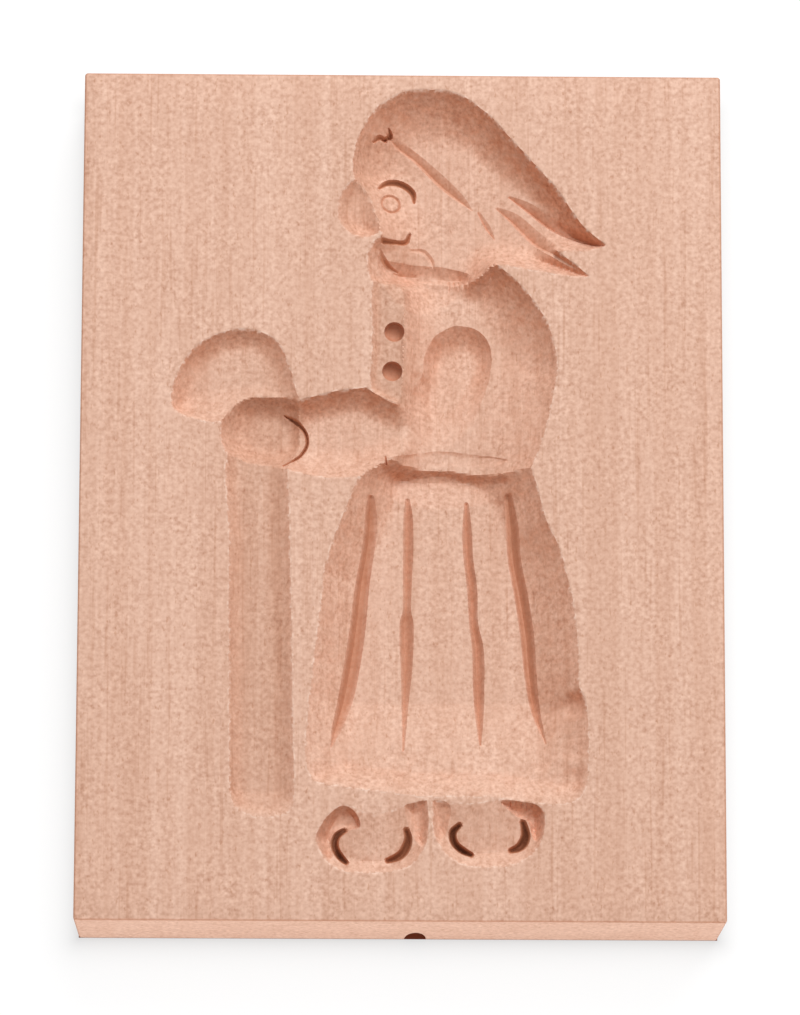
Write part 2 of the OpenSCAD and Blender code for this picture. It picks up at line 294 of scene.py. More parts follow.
@dataclass(frozen=True)
class Groove:
    """One cut of a parting tool or veiner along a line.

    Attributes:
        name: What the groove prints.
        path: Points of its line, each with the width of the cut there.
        depth: Depth below the floor where the cut is widest.
        lean: Place of the deepest line across the cut, from -1 on the right of its way to 1 on the left.
        bowl: Shape across the cut: 1 is a V, and more is rounder.
        stain_and_shade: How much painted shade darkens the cut, from 0 to 1.
    """

    name: str
    path: tuple[Triple, ...]
    depth: float
    lean: float = 0.0
    bowl: float = 1.0
    stain_and_shade: float = 0.0

    def line(self, step: float) -> np.ndarray:
        """Sample the line with its widths, a step apart, both ends included."""
        points = np.array(self.path)
        return np.vstack([smooth_run(points, step), points[-1:]])

    def sides(self, step: float) -> list[np.ndarray]:
        """Give the deepest line of the groove and its two edges.

        Args:
            step: Distance between samples, about.

        Returns:
            Three lines of points.
        """
        line = self.line(step)
        run = np.gradient(line[:, :2], axis=0)
        left = np.stack([-run[:, 1], run[:, 0]], 1) / np.linalg.norm(run, axis=1)[:, None]
        half = line[:, 2:3] / 2
        return [line[:, :2] + share * half * left for share in (self.lean, 1.0, -1.0)]

    def fall(self, xy: np.ndarray) -> np.ndarray:
        """Depth of the groove below the floor at points of the face.

        Args:
            xy: Points of the face.

        Returns:
            The depth at each, 0 outside the groove.
        """
        line = self.line(PATH_STEP)
        widest = line[:, 2].max()
        low, high = line[:, :2].min(0) - widest, line[:, :2].max(0) + widest
        picked = np.flatnonzero(((xy >= low) & (xy <= high)).all(1))
        a, b = line[:-1], line[1:]
        run = (b - a)[:, :2]
        result = np.zeros(len(xy))
        for part in chunks(len(picked)):
            some = picked[part]
            away, t = near_segments(xy[some], a, b)
            best = away.argmin(1)
            rows = np.arange(len(some))
            rel = xy[some] - a[best, :2]
            turn = np.sign(run[best, 0] * rel[:, 1] - run[best, 1] * rel[:, 0])
            width = a[best, 2] + t[rows, best] * (b[best, 2] - a[best, 2])
            across = turn * away[rows, best] / np.maximum(width / 2, LEAST_HALF)
            reach = np.where(across > self.lean, 1 - self.lean, 1 + self.lean)
            share = np.clip(1 - np.abs(across - self.lean) / reach, 0, 1)
            result[some] = self.depth * width / widest * (1 - (1 - share) ** self.bowl)
        return result


@dataclass(frozen=True)
class Pit:
    """A round hole with a dished floor, sunk with a centre bit for a button.

    Attributes:
        centre: Place of its middle.
        radius: Radius at the top.
        depth: Depth below the floor at its middle.
        taper: How much narrower it is at the bottom.
        dish: Share of the depth by which its floor rises to the wall.
        stain_and_shade: How much painted shade darkens it, from 0 to 1.
        points: Number of points round it.
    """

    centre: Spot
    radius: float
    depth: float
    taper: float = 0.16
    dish: float = 0.35
    stain_and_shade: float = 0.3
    points: int = 48

    def circles(self) -> list[np.ndarray]:
        """Give the top and bottom edges of the pit as rings of points."""
        return [circle(self.centre, r, self.points) for r in (self.radius, self.radius - self.taper)]

    def fall(self, xy: np.ndarray) -> np.ndarray:
        """Depth of the pit below the floor at points of the face.

        Args:
            xy: Points of the face.

        Returns:
            The depth at each, 0 outside the pit.
        """
        away = np.linalg.norm(xy - np.array(self.centre), axis=1)
        floor = self.depth * (1 - self.dish * np.clip(away / self.radius, 0, 1) ** 2)
        return floor * np.clip((self.radius - away) / self.taper, 0, 1)


@dataclass(frozen=True)
class Ring:
    """A fine round groove turned with a hollow punch, for the eye.

    Attributes:
        centre: Place of its middle.
        radius: Radius of its deepest line.
        width: Width of the groove.
        depth: Depth below the floor.
        stain_and_shade: How much painted shade darkens it, from 0 to 1.
        points: Number of points round it.
    """

    centre: Spot
    radius: float
    width: float
    depth: float
    stain_and_shade: float = 0.3
    points: int = 40

    def circles(self) -> list[np.ndarray]:
        """Give the inner edge, deepest line and outer edge as rings of points."""
        return [circle(self.centre, self.radius + s * self.width / 2, self.points) for s in (-1, 0, 1)]

    def fall(self, xy: np.ndarray) -> np.ndarray:
        """Give the depth of the ring below the floor at points of the face."""
        away = np.abs(np.linalg.norm(xy - np.array(self.centre), axis=1) - self.radius)
        return self.depth * np.clip(1 - away / (self.width / 2), 0, 1)


@dataclass(frozen=True)
class Scoop:
    """A short touch of a round gouge, which leaves a shallow bowl in a floor or wall.

    Attributes:
        centre: Place of its middle.
        reach: Half its width and half its height.
        depth: Depth below the surface at the middle.
    """

    centre: Spot
    reach: Spot
    depth: float

    def fall(self, xy: np.ndarray) -> np.ndarray:
        """Give the depth of the scoop below the surface at points of the face."""
        rel = (xy - np.array(self.centre)) / np.array(self.reach)
        return self.depth * np.clip(1 - (rel * rel).sum(1), 0, 1)


def ticks(name: str, first: Spot, last: Spot, count: int, size: Triple) -> list[Groove]:
    """Lay a row of short upright cuts of uneven length, as a comb of tool marks.

    Args:
        name: What the row is part of.
        first: Upper end of the first cut.
        last: Upper end of the last cut.
        count: Number of cuts.
        size: Greatest length, width and depth of a cut.

    Returns:
        The cuts as grooves.
    """
    length, width, depth = size
    bend = 0.05
    made = []
    for i, (x, y) in enumerate(np.linspace(first, last, count)):
        drop = length * (0.7 + 0.3 * math.cos(2.4 * i))
        path = ((x, y, width), (x + bend, y - drop / 2, width), (x, y - drop, width / 3))
        made.append(Groove(f"{name}_{i}", path, depth))
    return made


def hem_scoops() -> list[Scoop]:
    """Lay the touches of the gouge that finish the slope above the hem, in two uneven rows along it.

    Returns:
        The touches, a lower and an upper one in turn.
    """
    first, gap, count = -11.5, 2.9, 14
    made = []
    for i in range(count):
        x = first + gap * i
        hem = 12.9 - 0.06 * (x + 5.7)
        lower = (x, hem + 2.6 + 0.8 * math.sin(2.1 * i))
        upper = (x + 1.3, hem + 5.0 + 0.9 * math.cos(1.7 * i))
        made.append(Scoop(lower, (2.0 + 0.4 * math.cos(i), 2.3), 0.2))
        made.append(Scoop(upper, (1.7, 1.9 + 0.4 * math.sin(i)), 0.14))
    return made


HOLLOWS = (
    Hollow("head", depth=4.5, corners=(12, 14, 16), tilt=(-0.07, 0.0), rim=(
        (-7.6, 109.7, 8.0), (-7.8, 113.2, 8.0), (-6.5, 117.4, 8.5), (-3.9, 121.4, 9.0), (0.2, 123.7, 9.0),
        (4.6, 124.2, 8.5), (8.8, 123.4, 7.5), (13.3, 120.3, 6.5), (18.4, 114.8, 5.0), (24.1, 108.3, 3.6),
        (26.7, 104.4, 3.0), (29.2, 101.4, 2.6), (32.0, 99.0, 2.2), (29.0, 98.2, 4.0), (24.2, 98.2, 5.5),
        (26.6, 96.4, 5.0), (29.5, 94.0, 4.5), (25.9, 94.1, 5.0), (20.8, 95.0, 5.0), (16.4, 95.8, 5.0),
        (14.4, 95.6, 5.0), (13.0, 94.0, 4.5), (11.0, 91.5, 4.5), (8.0, 90.2, 5.0), (4.5, 90.0, 6.0),
        (1.5, 91.2, 5.0), (-1.6, 93.0, 4.5), (-3.6, 95.5, 5.0), (-3.4, 98.0, 8.0), (-3.4, 101.0, 9.0),
        (-5.2, 105.2, 9.0),
    )),
    Hollow("nose", depth=1.9, bowl=1.7, blend=3.0, tone=0.18, rim=(
        (-7.1, 109.7, 3.5), (-9.3, 107.8, 4.0), (-10.3, 105.0, 4.0), (-9.5, 102.1, 3.2), (-7.1, 100.2, 2.6),
        (-4.6, 100.4, 2.4), (-3.4, 101.8, 3.0), (-3.6, 105.4, 3.5), (-4.6, 108.6, 3.2),
    )),
    Hollow("chin", depth=2.3, bowl=1.6, blend=1.6, tone=0.1, rim=(
        (-2.3, 101.0, 2.6), (-4.4, 99.6, 2.8), (-5.4, 97.5, 3.0), (-5.5, 95.2, 3.0), (-4.9, 93.3, 2.6),
        (-3.2, 92.4, 2.2), (0.0, 92.6, 2.5), (3.0, 94.5, 3.0), (3.0, 98.0, 3.0), (0.5, 100.6, 2.5),
    )),
    Hollow("bodice", depth=4.7, rim=(
        (-0.6, 92.0, 6.0), (-0.2, 88.0, 7.0), (-0.2, 82.0, 7.0), (-0.6, 77.0, 7.0), (-1.2, 72.0, 8.0),
        (-1.6, 67.0, 8.0), (-2.2, 64.0, 6.0), (-1.5, 61.5, 5.0), (8.0, 60.0, 5.0), (16.0, 61.0, 6.0),
        (19.8, 63.2, 11.0), (21.4, 66.5, 13.0), (22.6, 70.4, 13.0), (23.8, 76.2, 11.5), (24.3, 79.0, 10.5),
        (24.0, 82.2, 9.5), (22.8, 86.2, 9.0), (20.4, 90.4, 8.5), (17.2, 93.9, 7.0), (14.2, 96.1, 5.5),
        (12.3, 95.0, 4.5), (10.6, 96.0, 5.0), (8.0, 97.0, 5.0), (4.5, 97.4, 5.0), (0.0, 97.4, 5.0),
        (-2.0, 97.0, 4.0), (-2.6, 95.0, 4.0),
    )),
    Hollow("button_strip", depth=0.9, bowl=1.2, tone=0.42, rim=(
        (-4.4, 93.4, 0.9), (-4.7, 88.5, 0.8), (-4.7, 82.1, 0.8), (-5.0, 76.8, 0.8), (-3.9, 75.0, 0.9),
        (0.4, 73.4, 1.0), (0.8, 78.0, 1.0), (0.8, 85.0, 1.0), (0.8, 93.0, 1.0),
    )),
    Hollow("crook", depth=2.0, bowl=1.7, tilt=(-0.06, 0.0), tone=0.14, rim=(
        (-35.9, 74.8, 3.2), (-35.2, 77.9, 3.6), (-32.7, 81.9, 3.2), (-29.2, 84.3, 3.0), (-25.3, 85.3, 3.0),
        (-21.9, 84.8, 3.0), (-19.2, 83.1, 3.0), (-17.6, 79.6, 3.2), (-16.5, 75.6, 3.4), (-15.9, 73.6, 3.4),
        (-17.5, 72.8, 3.4), (-20.0, 72.5, 4.0), (-23.6, 72.3, 4.5), (-26.5, 71.2, 5.0), (-28.6, 70.4, 5.5),
        (-31.4, 70.7, 5.0), (-34.5, 71.7, 3.2), (-35.8, 73.1, 2.8),
    )),
    Hollow("stick", depth=1.4, bowl=1.4, fade=(12.5, 8.2), tone=0.33, rim=(
        (-26.8, 66.0, 1.8), (-26.7, 51.7, 1.8), (-26.6, 36.0, 1.8), (-26.4, 20.4, 1.8), (-26.2, 11.9, 1.8),
        (-24.7, 9.4, 2.0), (-21.3, 8.4, 1.6), (-17.9, 8.9, 2.0), (-16.4, 11.2, 3.0), (-16.6, 20.5, 3.0),
        (-16.9, 36.1, 3.0), (-17.3, 51.8, 3.0), (-17.8, 63.5, 3.0), (-19.0, 67.0, 2.6),
    )),
    Hollow("forearm", depth=2.9, bowl=1.8, corners=(3,), tilt=(-0.05, 0.0), blend=0.8, rim=(
        (-16.5, 73.4, 3.4), (-13.1, 74.8, 3.5), (-9.3, 75.6, 3.5), (-5.6, 76.1, 3.2), (-3.4, 74.8, 3.5),
        (-0.2, 73.7, 4.0), (2.0, 75.4, 4.5), (6.0, 76.0, 5.0), (9.5, 72.0, 5.0), (8.5, 66.5, 5.0),
        (1.6, 64.6, 5.0), (-3.5, 63.1, 5.0), (-6.8, 61.9, 5.2), (-11.1, 61.7, 5.5), (-14.9, 62.2, 5.2),
        (-17.9, 63.3, 5.0), (-19.5, 68.6, 5.0),
    )),
    Hollow("hand", depth=4.0, bowl=1.8, tone=0.42, rim=(
        (-28.3, 68.7, 4.4), (-27.8, 71.5, 4.2), (-26.2, 74.0, 3.9), (-23.5, 75.3, 3.8), (-20.5, 75.5, 3.8),
        (-17.0, 74.6, 3.8), (-14.4, 71.0, 3.4), (-14.2, 66.6, 3.5), (-17.4, 63.3, 4.0), (-21.7, 63.0, 4.4),
        (-25.1, 63.7, 4.4), (-27.5, 65.8, 4.4),
    )),
    Hollow("skirt", depth=5.2, bowl=1.2, corners=(16,), fade=(27.0, 7.0), rim=(
        (-6.6, 61.8, 6.0), (-8.8, 56.6, 6.5), (-11.7, 48.4, 6.8), (-12.4, 42.4, 7.0), (-13.6, 32.2, 7.0),
        (-14.5, 22.8, 7.0), (-14.6, 16.8, 6.0), (-12.7, 13.9, 4.5), (-5.7, 12.9, 4.0), (4.5, 11.8, 4.0),
        (13.7, 11.8, 4.0), (22.3, 10.7, 4.0), (26.9, 11.2, 5.0), (28.7, 14.2, 6.0), (28.9, 20.7, 8.0),
        (28.6, 26.3, 7.0), (27.4, 29.0, 7.0), (27.4, 34.0, 8.0), (26.7, 41.4, 8.0), (24.9, 49.4, 7.5),
        (22.2, 56.0, 6.5), (20.8, 61.5, 6.5), (19.4, 64.2, 7.5), (16.0, 65.4, 5.5), (7.5, 66.2, 3.2),
        (-1.0, 65.6, 3.4), (-4.4, 64.0, 4.5),
    )),
    Hollow("left_shoe", depth=1.6, bowl=1.3, corners=(8,), rim=(
        (-13.0, 5.0, 3.0), (-12.4, 7.3, 3.0), (-10.9, 9.3, 3.0), (-8.6, 10.5, 4.5), (-6.7, 9.6, 9.0),
        (-4.0, 9.0, 12.0), (-0.9, 9.8, 10.0), (1.7, 10.9, 5.0), (4.1, 11.3, 2.4), (4.2, 5.4, 2.4),
        (1.7, 1.2, 3.0), (-1.6, 0.1, 3.4), (-5.3, -0.1, 3.4), (-9.0, 0.2, 3.4), (-11.6, 1.8, 3.2),
    )),
    Hollow("right_shoe", depth=1.7, bowl=1.3, corners=(0,), rim=(
        (4.9, 11.3, 4.5), (10.6, 10.6, 10.0), (16.0, 11.4, 8.0), (19.8, 11.0, 3.5), (22.0, 9.6, 2.4),
        (22.1, 6.4, 2.4), (20.6, 3.3, 2.8), (17.5, 1.4, 3.2), (13.7, 0.8, 3.4), (9.1, 1.4, 3.2),
        (6.3, 3.6, 3.0), (4.9, 7.3, 2.4),
    )),
    # A sink only 0.12 mm deep, whose tone paints shade on the brow by the left rim of the head.
    Hollow("forehead_shade", depth=0.12, cut=Cut.SINK, tone=0.3, rim=(
        (-7.4, 109.8, 2.0), (-7.6, 113.2, 2.0), (-6.3, 117.0, 2.0), (-3.5, 117.0, 1.5), (0.0, 114.8, 1.5),
        (3.5, 111.6, 1.5), (2.5, 110.4, 1.5), (-0.5, 111.4, 1.0), (-3.5, 110.0, 1.0), (-5.0, 107.5, 1.5),
        (-6.5, 106.5, 1.5),
    )),
    Hollow("collar", depth=1.2, bowl=1.2, cut=Cut.SINK, rim=(
        (-3.9, 98.0, 0.9), (-2.8, 97.0, 2.0), (0.0, 96.9, 2.6), (4.5, 96.7, 2.6), (8.0, 96.2, 2.2),
        (10.6, 95.2, 1.6), (10.2, 92.8, 3.0), (6.0, 89.6, 6.0), (2.0, 88.6, 6.0), (-1.2, 90.2, 4.0),
        (-3.0, 93.0, 2.4), (-3.7, 95.9, 1.2),
    )),
    Hollow("sleeve", depth=1.3, bowl=1.4, tilt=(0.0, 0.1), cut=Cut.SINK, rim=(
        (3.6, 82.0, 2.4), (5.2, 85.3, 3.4), (8.6, 87.1, 4.0), (12.0, 86.3, 3.6), (13.8, 83.8, 2.6),
        (14.1, 80.7, 2.4), (13.0, 76.0, 3.0), (10.8, 71.0, 4.0), (8.0, 67.6, 5.0), (4.6, 66.0, 5.0),
        (1.4, 65.8, 5.0), (0.2, 68.5, 6.0), (0.2, 72.0, 5.0), (1.2, 75.5, 3.0), (2.4, 77.6, 2.4),
        (3.4, 79.6, 2.2),
    )),
    Hollow("blouse_hem", depth=0.2, cut=Cut.SINK, rim=(
        (-3.3, 64.5, 0.4), (1.4, 66.1, 0.5), (5.6, 66.9, 0.6), (10.7, 66.5, 0.5), (16.7, 65.2, 0.4),
        (13.0, 64.0, 1.5), (8.0, 63.8, 2.0), (3.0, 63.6, 2.0), (-1.0, 63.8, 1.2),
    )),
    Hollow("waistband", depth=1.0, bowl=1.2, cut=Cut.SINK, rim=(
        (-3.6, 64.1, 1.4), (-2.0, 64.1, 1.8), (0.8, 64.3, 2.2), (3.7, 64.2, 2.3), (8.4, 64.5, 2.4),
        (13.4, 63.8, 2.2), (16.4, 62.4, 1.8), (16.4, 60.9, 2.6), (13.9, 59.0, 4.0), (7.5, 57.8, 4.6),
        (1.1, 58.4, 4.2), (-2.5, 60.2, 3.0),
    )),
    Hollow("left_shoe_heel", depth=1.2, bowl=1.6, cut=Cut.SINK, rim=(
        (-12.9, 4.8, 1.4), (-12.3, 7.2, 1.6), (-10.8, 9.2, 1.8), (-8.7, 10.3, 1.8), (-7.0, 9.3, 0.7),
        (-6.2, 7.2, 0.4), (-7.6, 6.6, 0.8), (-9.4, 6.0, 1.4), (-10.0, 3.4, 1.6), (-11.0, 2.0, 1.4),
    )),
    Hollow("left_shoe_toe", depth=0.8, bowl=1.2, cut=Cut.SINK, rim=(
        (0.6, 10.3, 1.2), (2.4, 10.9, 1.8), (4.0, 11.1, 1.8), (4.1, 7.0, 1.8), (3.6, 4.0, 1.4),
        (2.0, 5.6, 1.4), (1.0, 8.0, 1.4),
    )),
    Hollow("right_shoe_heel", depth=0.35, cut=Cut.SINK, rim=(
        (5.0, 11.0, 1.0), (7.5, 10.5, 0.8), (7.2, 7.0, 0.8), (6.0, 4.5, 1.0), (5.0, 7.0, 1.0),
    )),
    Hollow("right_shoe_toe", depth=1.1, bowl=1.6, cut=Cut.SINK, rim=(
        (15.4, 11.2, 1.0), (19.8, 10.9, 1.6), (21.8, 9.5, 1.6), (21.9, 6.2, 1.4), (20.6, 5.0, 0.8),
        (19.6, 8.0, 0.6), (17.5, 9.0, 0.6),
    )),
)

# The darkening of each groove, pit and ring is painted shade, strongest towards its deepest part.
GROOVES = (
    Groove("front_pleat", depth=1.3, lean=-0.2, bowl=1.4, stain_and_shade=0.36, path=(
        (-4.7, 59.0, 1.1), (-4.7, 56.5, 1.9), (-4.8, 53.5, 2.0), (-5.3, 50.0, 2.0), (-6.0, 45.6, 2.2),
        (-6.5, 40.6, 2.4), (-7.0, 36.5, 2.5), (-7.7, 32.0, 2.5), (-8.3, 28.7, 2.4), (-9.1, 25.4, 2.0),
        (-10.0, 22.4, 1.4), (-10.7, 19.8, 0.3),
    )),
    Groove("second_pleat", depth=1.0, lean=-0.15, bowl=1.5, stain_and_shade=0.28, path=(
        (1.0, 59.2, 0.8), (1.1, 56.0, 1.5), (1.1, 51.0, 1.6), (1.0, 46.0, 1.4), (0.95, 41.8, 1.3),
        (0.9, 40.0, 2.1), (0.9, 37.0, 2.2), (0.9, 32.5, 1.8), (0.7, 27.0, 1.1), (0.4, 19.4, 0.35),
    )),
    Groove("third_pleat", depth=1.0, lean=-0.15, bowl=1.5, stain_and_shade=0.26, path=(
        (10.2, 58.6, 0.8), (10.3, 54.0, 1.5), (10.5, 50.0, 1.5), (11.1, 45.0, 1.6), (11.3, 40.0, 1.4),
        (12.0, 35.5, 1.8), (12.1, 30.0, 1.8), (12.2, 25.0, 1.3), (12.3, 20.5, 0.4),
    )),
    Groove("back_pleat", depth=0.9, lean=-0.15, bowl=1.6, stain_and_shade=0.34, path=(
        (16.7, 59.5, 1.3), (17.3, 54.5, 2.0), (17.7, 49.5, 2.0), (18.7, 44.0, 2.1), (19.6, 38.0, 2.1),
        (20.1, 32.0, 1.9), (20.9, 26.0, 1.4), (22.4, 20.6, 0.3),
    )),
    Groove("scarf_edge", depth=0.6, lean=-0.4, stain_and_shade=0.22, path=(
        (-2.2, 117.6, 0.9), (-0.2, 116.0, 1.5), (2.3, 114.2, 1.5), (6.2, 110.4, 1.9), (9.0, 107.8, 1.4),
        (11.0, 105.8, 0.3),
    )),
    Groove("scarf_edge_end", depth=0.35, lean=-0.5, path=(
        (12.1, 105.3, 0.5), (13.4, 103.0, 0.9), (14.5, 101.1, 0.3),
    )),
    Groove("upper_fold", depth=0.9, lean=-0.5, stain_and_shade=0.2, path=(
        (17.0, 107.8, 0.5), (20.0, 106.0, 1.6), (24.0, 103.0, 2.0), (28.0, 100.8, 1.6), (31.0, 99.4, 0.6),
    )),
    Groove("lower_fold", depth=0.8, lean=-0.5, stain_and_shade=0.14, path=(
        (15.0, 106.0, 0.5), (17.6, 104.3, 1.8), (19.8, 102.2, 2.2), (22.2, 99.9, 2.2), (25.0, 97.6, 1.8),
        (28.6, 94.9, 0.6),
    )),
    Groove("brow", depth=0.8, bowl=1.4, stain_and_shade=0.72, path=(
        (-3.6, 109.0, 0.6), (-2.6, 109.9, 1.0), (-1.0, 110.2, 1.2), (0.6, 109.6, 1.2), (1.7, 108.5, 1.1),
        (1.9, 107.1, 0.6),
    )),
    Groove("mouth", depth=0.8, bowl=1.5, stain_and_shade=0.6, path=(
        (-2.9, 99.8, 1.0), (-1.4, 99.9, 0.85), (0.5, 100.2, 0.9), (1.2, 101.6, 0.6),
    )),
    Groove("jaw_corner", depth=0.5, bowl=1.4, stain_and_shade=0.4, path=(
        (-3.4, 98.4, 0.5), (-3.0, 97.2, 1.1), (-2.2, 96.2, 1.0), (-0.8, 95.6, 0.4),
    )),
    Groove("cheek", depth=0.25, path=(
        (1.3, 99.0, 0.6), (3.3, 99.0, 0.9), (4.6, 97.6, 0.9), (5.0, 96.4, 0.4),
    )),
    Groove("scarf_knot", depth=0.8, bowl=1.6, stain_and_shade=0.5, path=(
        (-4.5, 116.3, 0.5), (-3.6, 117.1, 0.9), (-2.7, 116.8, 0.8),
    )),
    Groove("scarf_knot_hook", depth=0.9, bowl=1.6, stain_and_shade=0.65, path=(
        (-2.8, 117.0, 0.6), (-1.9, 117.5, 0.9), (-2.1, 118.5, 0.5),
    )),
    Groove("cuff", depth=0.8, bowl=1.6, stain_and_shade=0.72, path=(
        (-18.2, 72.2, 0.4), (-16.6, 71.2, 0.8), (-15.1, 69.6, 0.75), (-14.7, 67.9, 0.65),
        (-15.3, 66.3, 0.6), (-16.6, 64.9, 0.5), (-18.4, 63.8, 0.35),
    )),
    Groove("waist_nick", depth=0.5, stain_and_shade=0.4, path=((-2.5, 65.3, 0.3), (-2.4, 64.2, 0.5))),
    Groove("left_heel_cut", depth=1.3, bowl=1.6, stain_and_shade=0.86, path=(
        (-8.7, 6.6, 1.1), (-9.7, 5.9, 1.3), (-10.1, 4.8, 1.3), (-9.9, 3.6, 1.3), (-9.2, 2.5, 1.3),
        (-8.4, 1.7, 1.0),
    )),
    Groove("left_toe_cut", depth=1.3, bowl=1.6, stain_and_shade=0.76, path=(
        (0.9, 6.6, 1.1), (1.15, 5.6, 1.3), (1.0, 4.5, 1.5), (0.4, 3.3, 1.5), (-0.6, 2.5, 1.4),
        (-1.9, 2.0, 1.1),
    )),
    Groove("right_heel_cut", depth=1.3, bowl=1.6, stain_and_shade=0.86, path=(
        (9.0, 7.5, 1.0), (8.1, 6.6, 1.3), (8.0, 5.6, 1.3), (8.5, 4.5, 1.3), (9.6, 3.6, 1.3),
        (10.8, 3.0, 1.0),
    )),
    Groove("right_toe_cut", depth=1.4, bowl=1.6, stain_and_shade=0.84, path=(
        (18.8, 8.0, 1.1), (19.1, 6.9, 1.4), (19.2, 5.9, 1.6), (18.8, 4.8, 1.7), (18.1, 4.1, 1.5),
        (17.0, 3.7, 1.1),
    )),
    *ticks("right_toe_comb", (16.8, 11.3), (21.9, 10.6), 7, (1.1, 0.3, 0.3)),
    *ticks("left_toe_comb", (1.9, 11.0), (3.9, 11.4), 3, (1.0, 0.3, 0.25)),
    *ticks("collar_comb", (7.4, 94.2), (10.4, 93.8), 5, (1.6, 0.5, 0.18)),
)

PITS = (Pit((-1.2, 85.2), 1.58, 1.8), Pit((-1.5, 78.9), 1.58, 1.8))
EYE = Ring((-1.8, 106.4), 1.4, 0.6, 0.28)
SCOOPS = (
    Scoop((27.0, 26.4), (2.4, 2.2), 0.5),
    Scoop((26.8, 19.8), (3.0, 2.2), 0.25),
    Scoop((27.0, 14.8), (2.8, 1.8), 0.25),
    Scoop((5.3, 82.6), (1.6, 2.0), 0.3),
    Scoop((2.6, 77.8), (1.3, 1.5), 0.35),
    *hem_scoops(),
)


@dataclass
class Figure:
    """The carved figure, as the depth of wood cut away at each point of the face.

    Attributes:
        hollows: Its hollows, those that sink after those that reach.
        grooves: Its cut lines.
        pits: Its buttons.
        eye: The ring of the eye.
        scoops: Single touches of the gouge.
        facet: Width and height of the facets that the gouge leaves.
        facet_depth: Depth of a facet.
        facet_reach: Square of the reach of a facet, in facets.
        facet_count: Number of facets each way before their places repeat.
        lead_in: Depth of a hollow at which the marks in it reach their full depth.
        stain_and_shade_rise: How soon a cut takes its full painted shade: 1 is at its full depth, and more
            is sooner.
        tone_rise: The same for the tone of a hollow.
        seed: Seed of the facets' places.
    """

    hollows: tuple[Hollow, ...] = HOLLOWS
    grooves: tuple[Groove, ...] = GROOVES
    pits: tuple[Pit, ...] = PITS
    eye: Ring = EYE
    scoops: tuple[Scoop, ...] = SCOOPS
    facet: Spot = (2.0, 3.4)
    facet_depth: float = 0.06
    facet_reach: float = 0.5
    facet_count: int = 80
    lead_in: float = 0.6
    stain_and_shade_rise: float = 1.6
    tone_rise: float = 2.0
    seed: int = 7

    def marks(self) -> tuple[Groove | Pit | Ring, ...]:
        """Give the cuts that lie in the floors of the hollows."""
        return (*self.grooves, *self.pits, self.eye)

    def facets(self, xy: np.ndarray) -> np.ndarray:
        """Depth of the gouge's facets, as shallow scoops that overlap.

        Args:
            xy: Points of the face.

        Returns:
            The depth at each, 0 on the ridges between the facets.
        """
        count = self.facet_count
        grid = np.random.default_rng(self.seed).uniform(0.15, 0.85, (count, count, 2))
        scaled = xy / np.array(self.facet) + count / 2
        cell = np.floor(scaled).astype(int)
        nearest = np.full(len(xy), np.inf)
        for step in np.ndindex(3, 3):
            other = cell + np.array(step) - 1
            spot = other + grid[other[:, 0] % count, other[:, 1] % count]
            nearest = np.minimum(nearest, ((scaled - spot) ** 2).sum(1))
        return self.facet_depth * (1 - np.clip(nearest / self.facet_reach, 0, 1))

    def depth(self, xy: np.ndarray) -> np.ndarray:
        """Depth of the carving at points of the face.

        Args:
            xy: Points of the face.

        Returns:
            The depth below the face at each, 0 on the bare ground.
        """
        total = np.zeros(len(xy))
        for hollow in self.hollows:
            fall = hollow.fall(xy)
            if hollow.cut is Cut.REACH:
                less = np.minimum(total, fall)
                total = np.maximum(total, fall)
                near = np.clip(1 - (total - less) / hollow.blend, 0, 1) * np.clip(less / hollow.blend, 0, 1)
                total += near * near * hollow.blend / 4
            else:
                total += fall * (total > 0)
        soft = np.clip(total / self.lead_in, 0, 1)
        total += soft * self.facets(xy)
        for mark in (*self.scoops, *self.marks()):
            total += soft * mark.fall(xy)
        return total

    def stain_and_shade(self, xy: np.ndarray) -> np.ndarray:
        """Give how much painted shade darkens the narrow cuts at points of the face, from 0 to 1."""
        shares = [m.stain_and_shade * np.clip(self.stain_and_shade_rise * m.fall(xy) / m.depth, 0, 1) for m in self.marks()]
        return np.max(shares, axis=0)

    def tone(self, xy: np.ndarray) -> np.ndarray:
        """Give how much darker the cut wood of the toned hollows is at points of the face, from 0 to 1."""
        shares = [h.tone * np.clip(self.tone_rise * h.fall(xy) / h.depth, 0, 1) for h in self.hollows]
        return np.max(shares, axis=0)

    def rings(self) -> list[np.ndarray]:
        """Give the rings of points of the buttons and the eye."""
        return [ring for mark in (*self.pits, self.eye) for ring in mark.circles()]

    def lines(self) -> list[tuple[np.ndarray, bool]]:
        """List the lines that the mesh of the face follows.

        Returns:
            Lines of points, each with whether it closes on itself.
        """
        found = [(hollow.edge(LINE_STEP)[:, :2], True) for hollow in self.hollows]
        found += [(side, False) for groove in self.grooves for side in groove.sides(LINE_STEP)]
        return found + [(ring, True) for ring in self.rings()]

    def fine_spots(self) -> np.ndarray:
        """Give points along the small marks, round which the mesh is finest."""
        return np.vstack([groove.line(PATH_STEP)[:, :2] for groove in self.grooves] + self.rings())


# The wood.


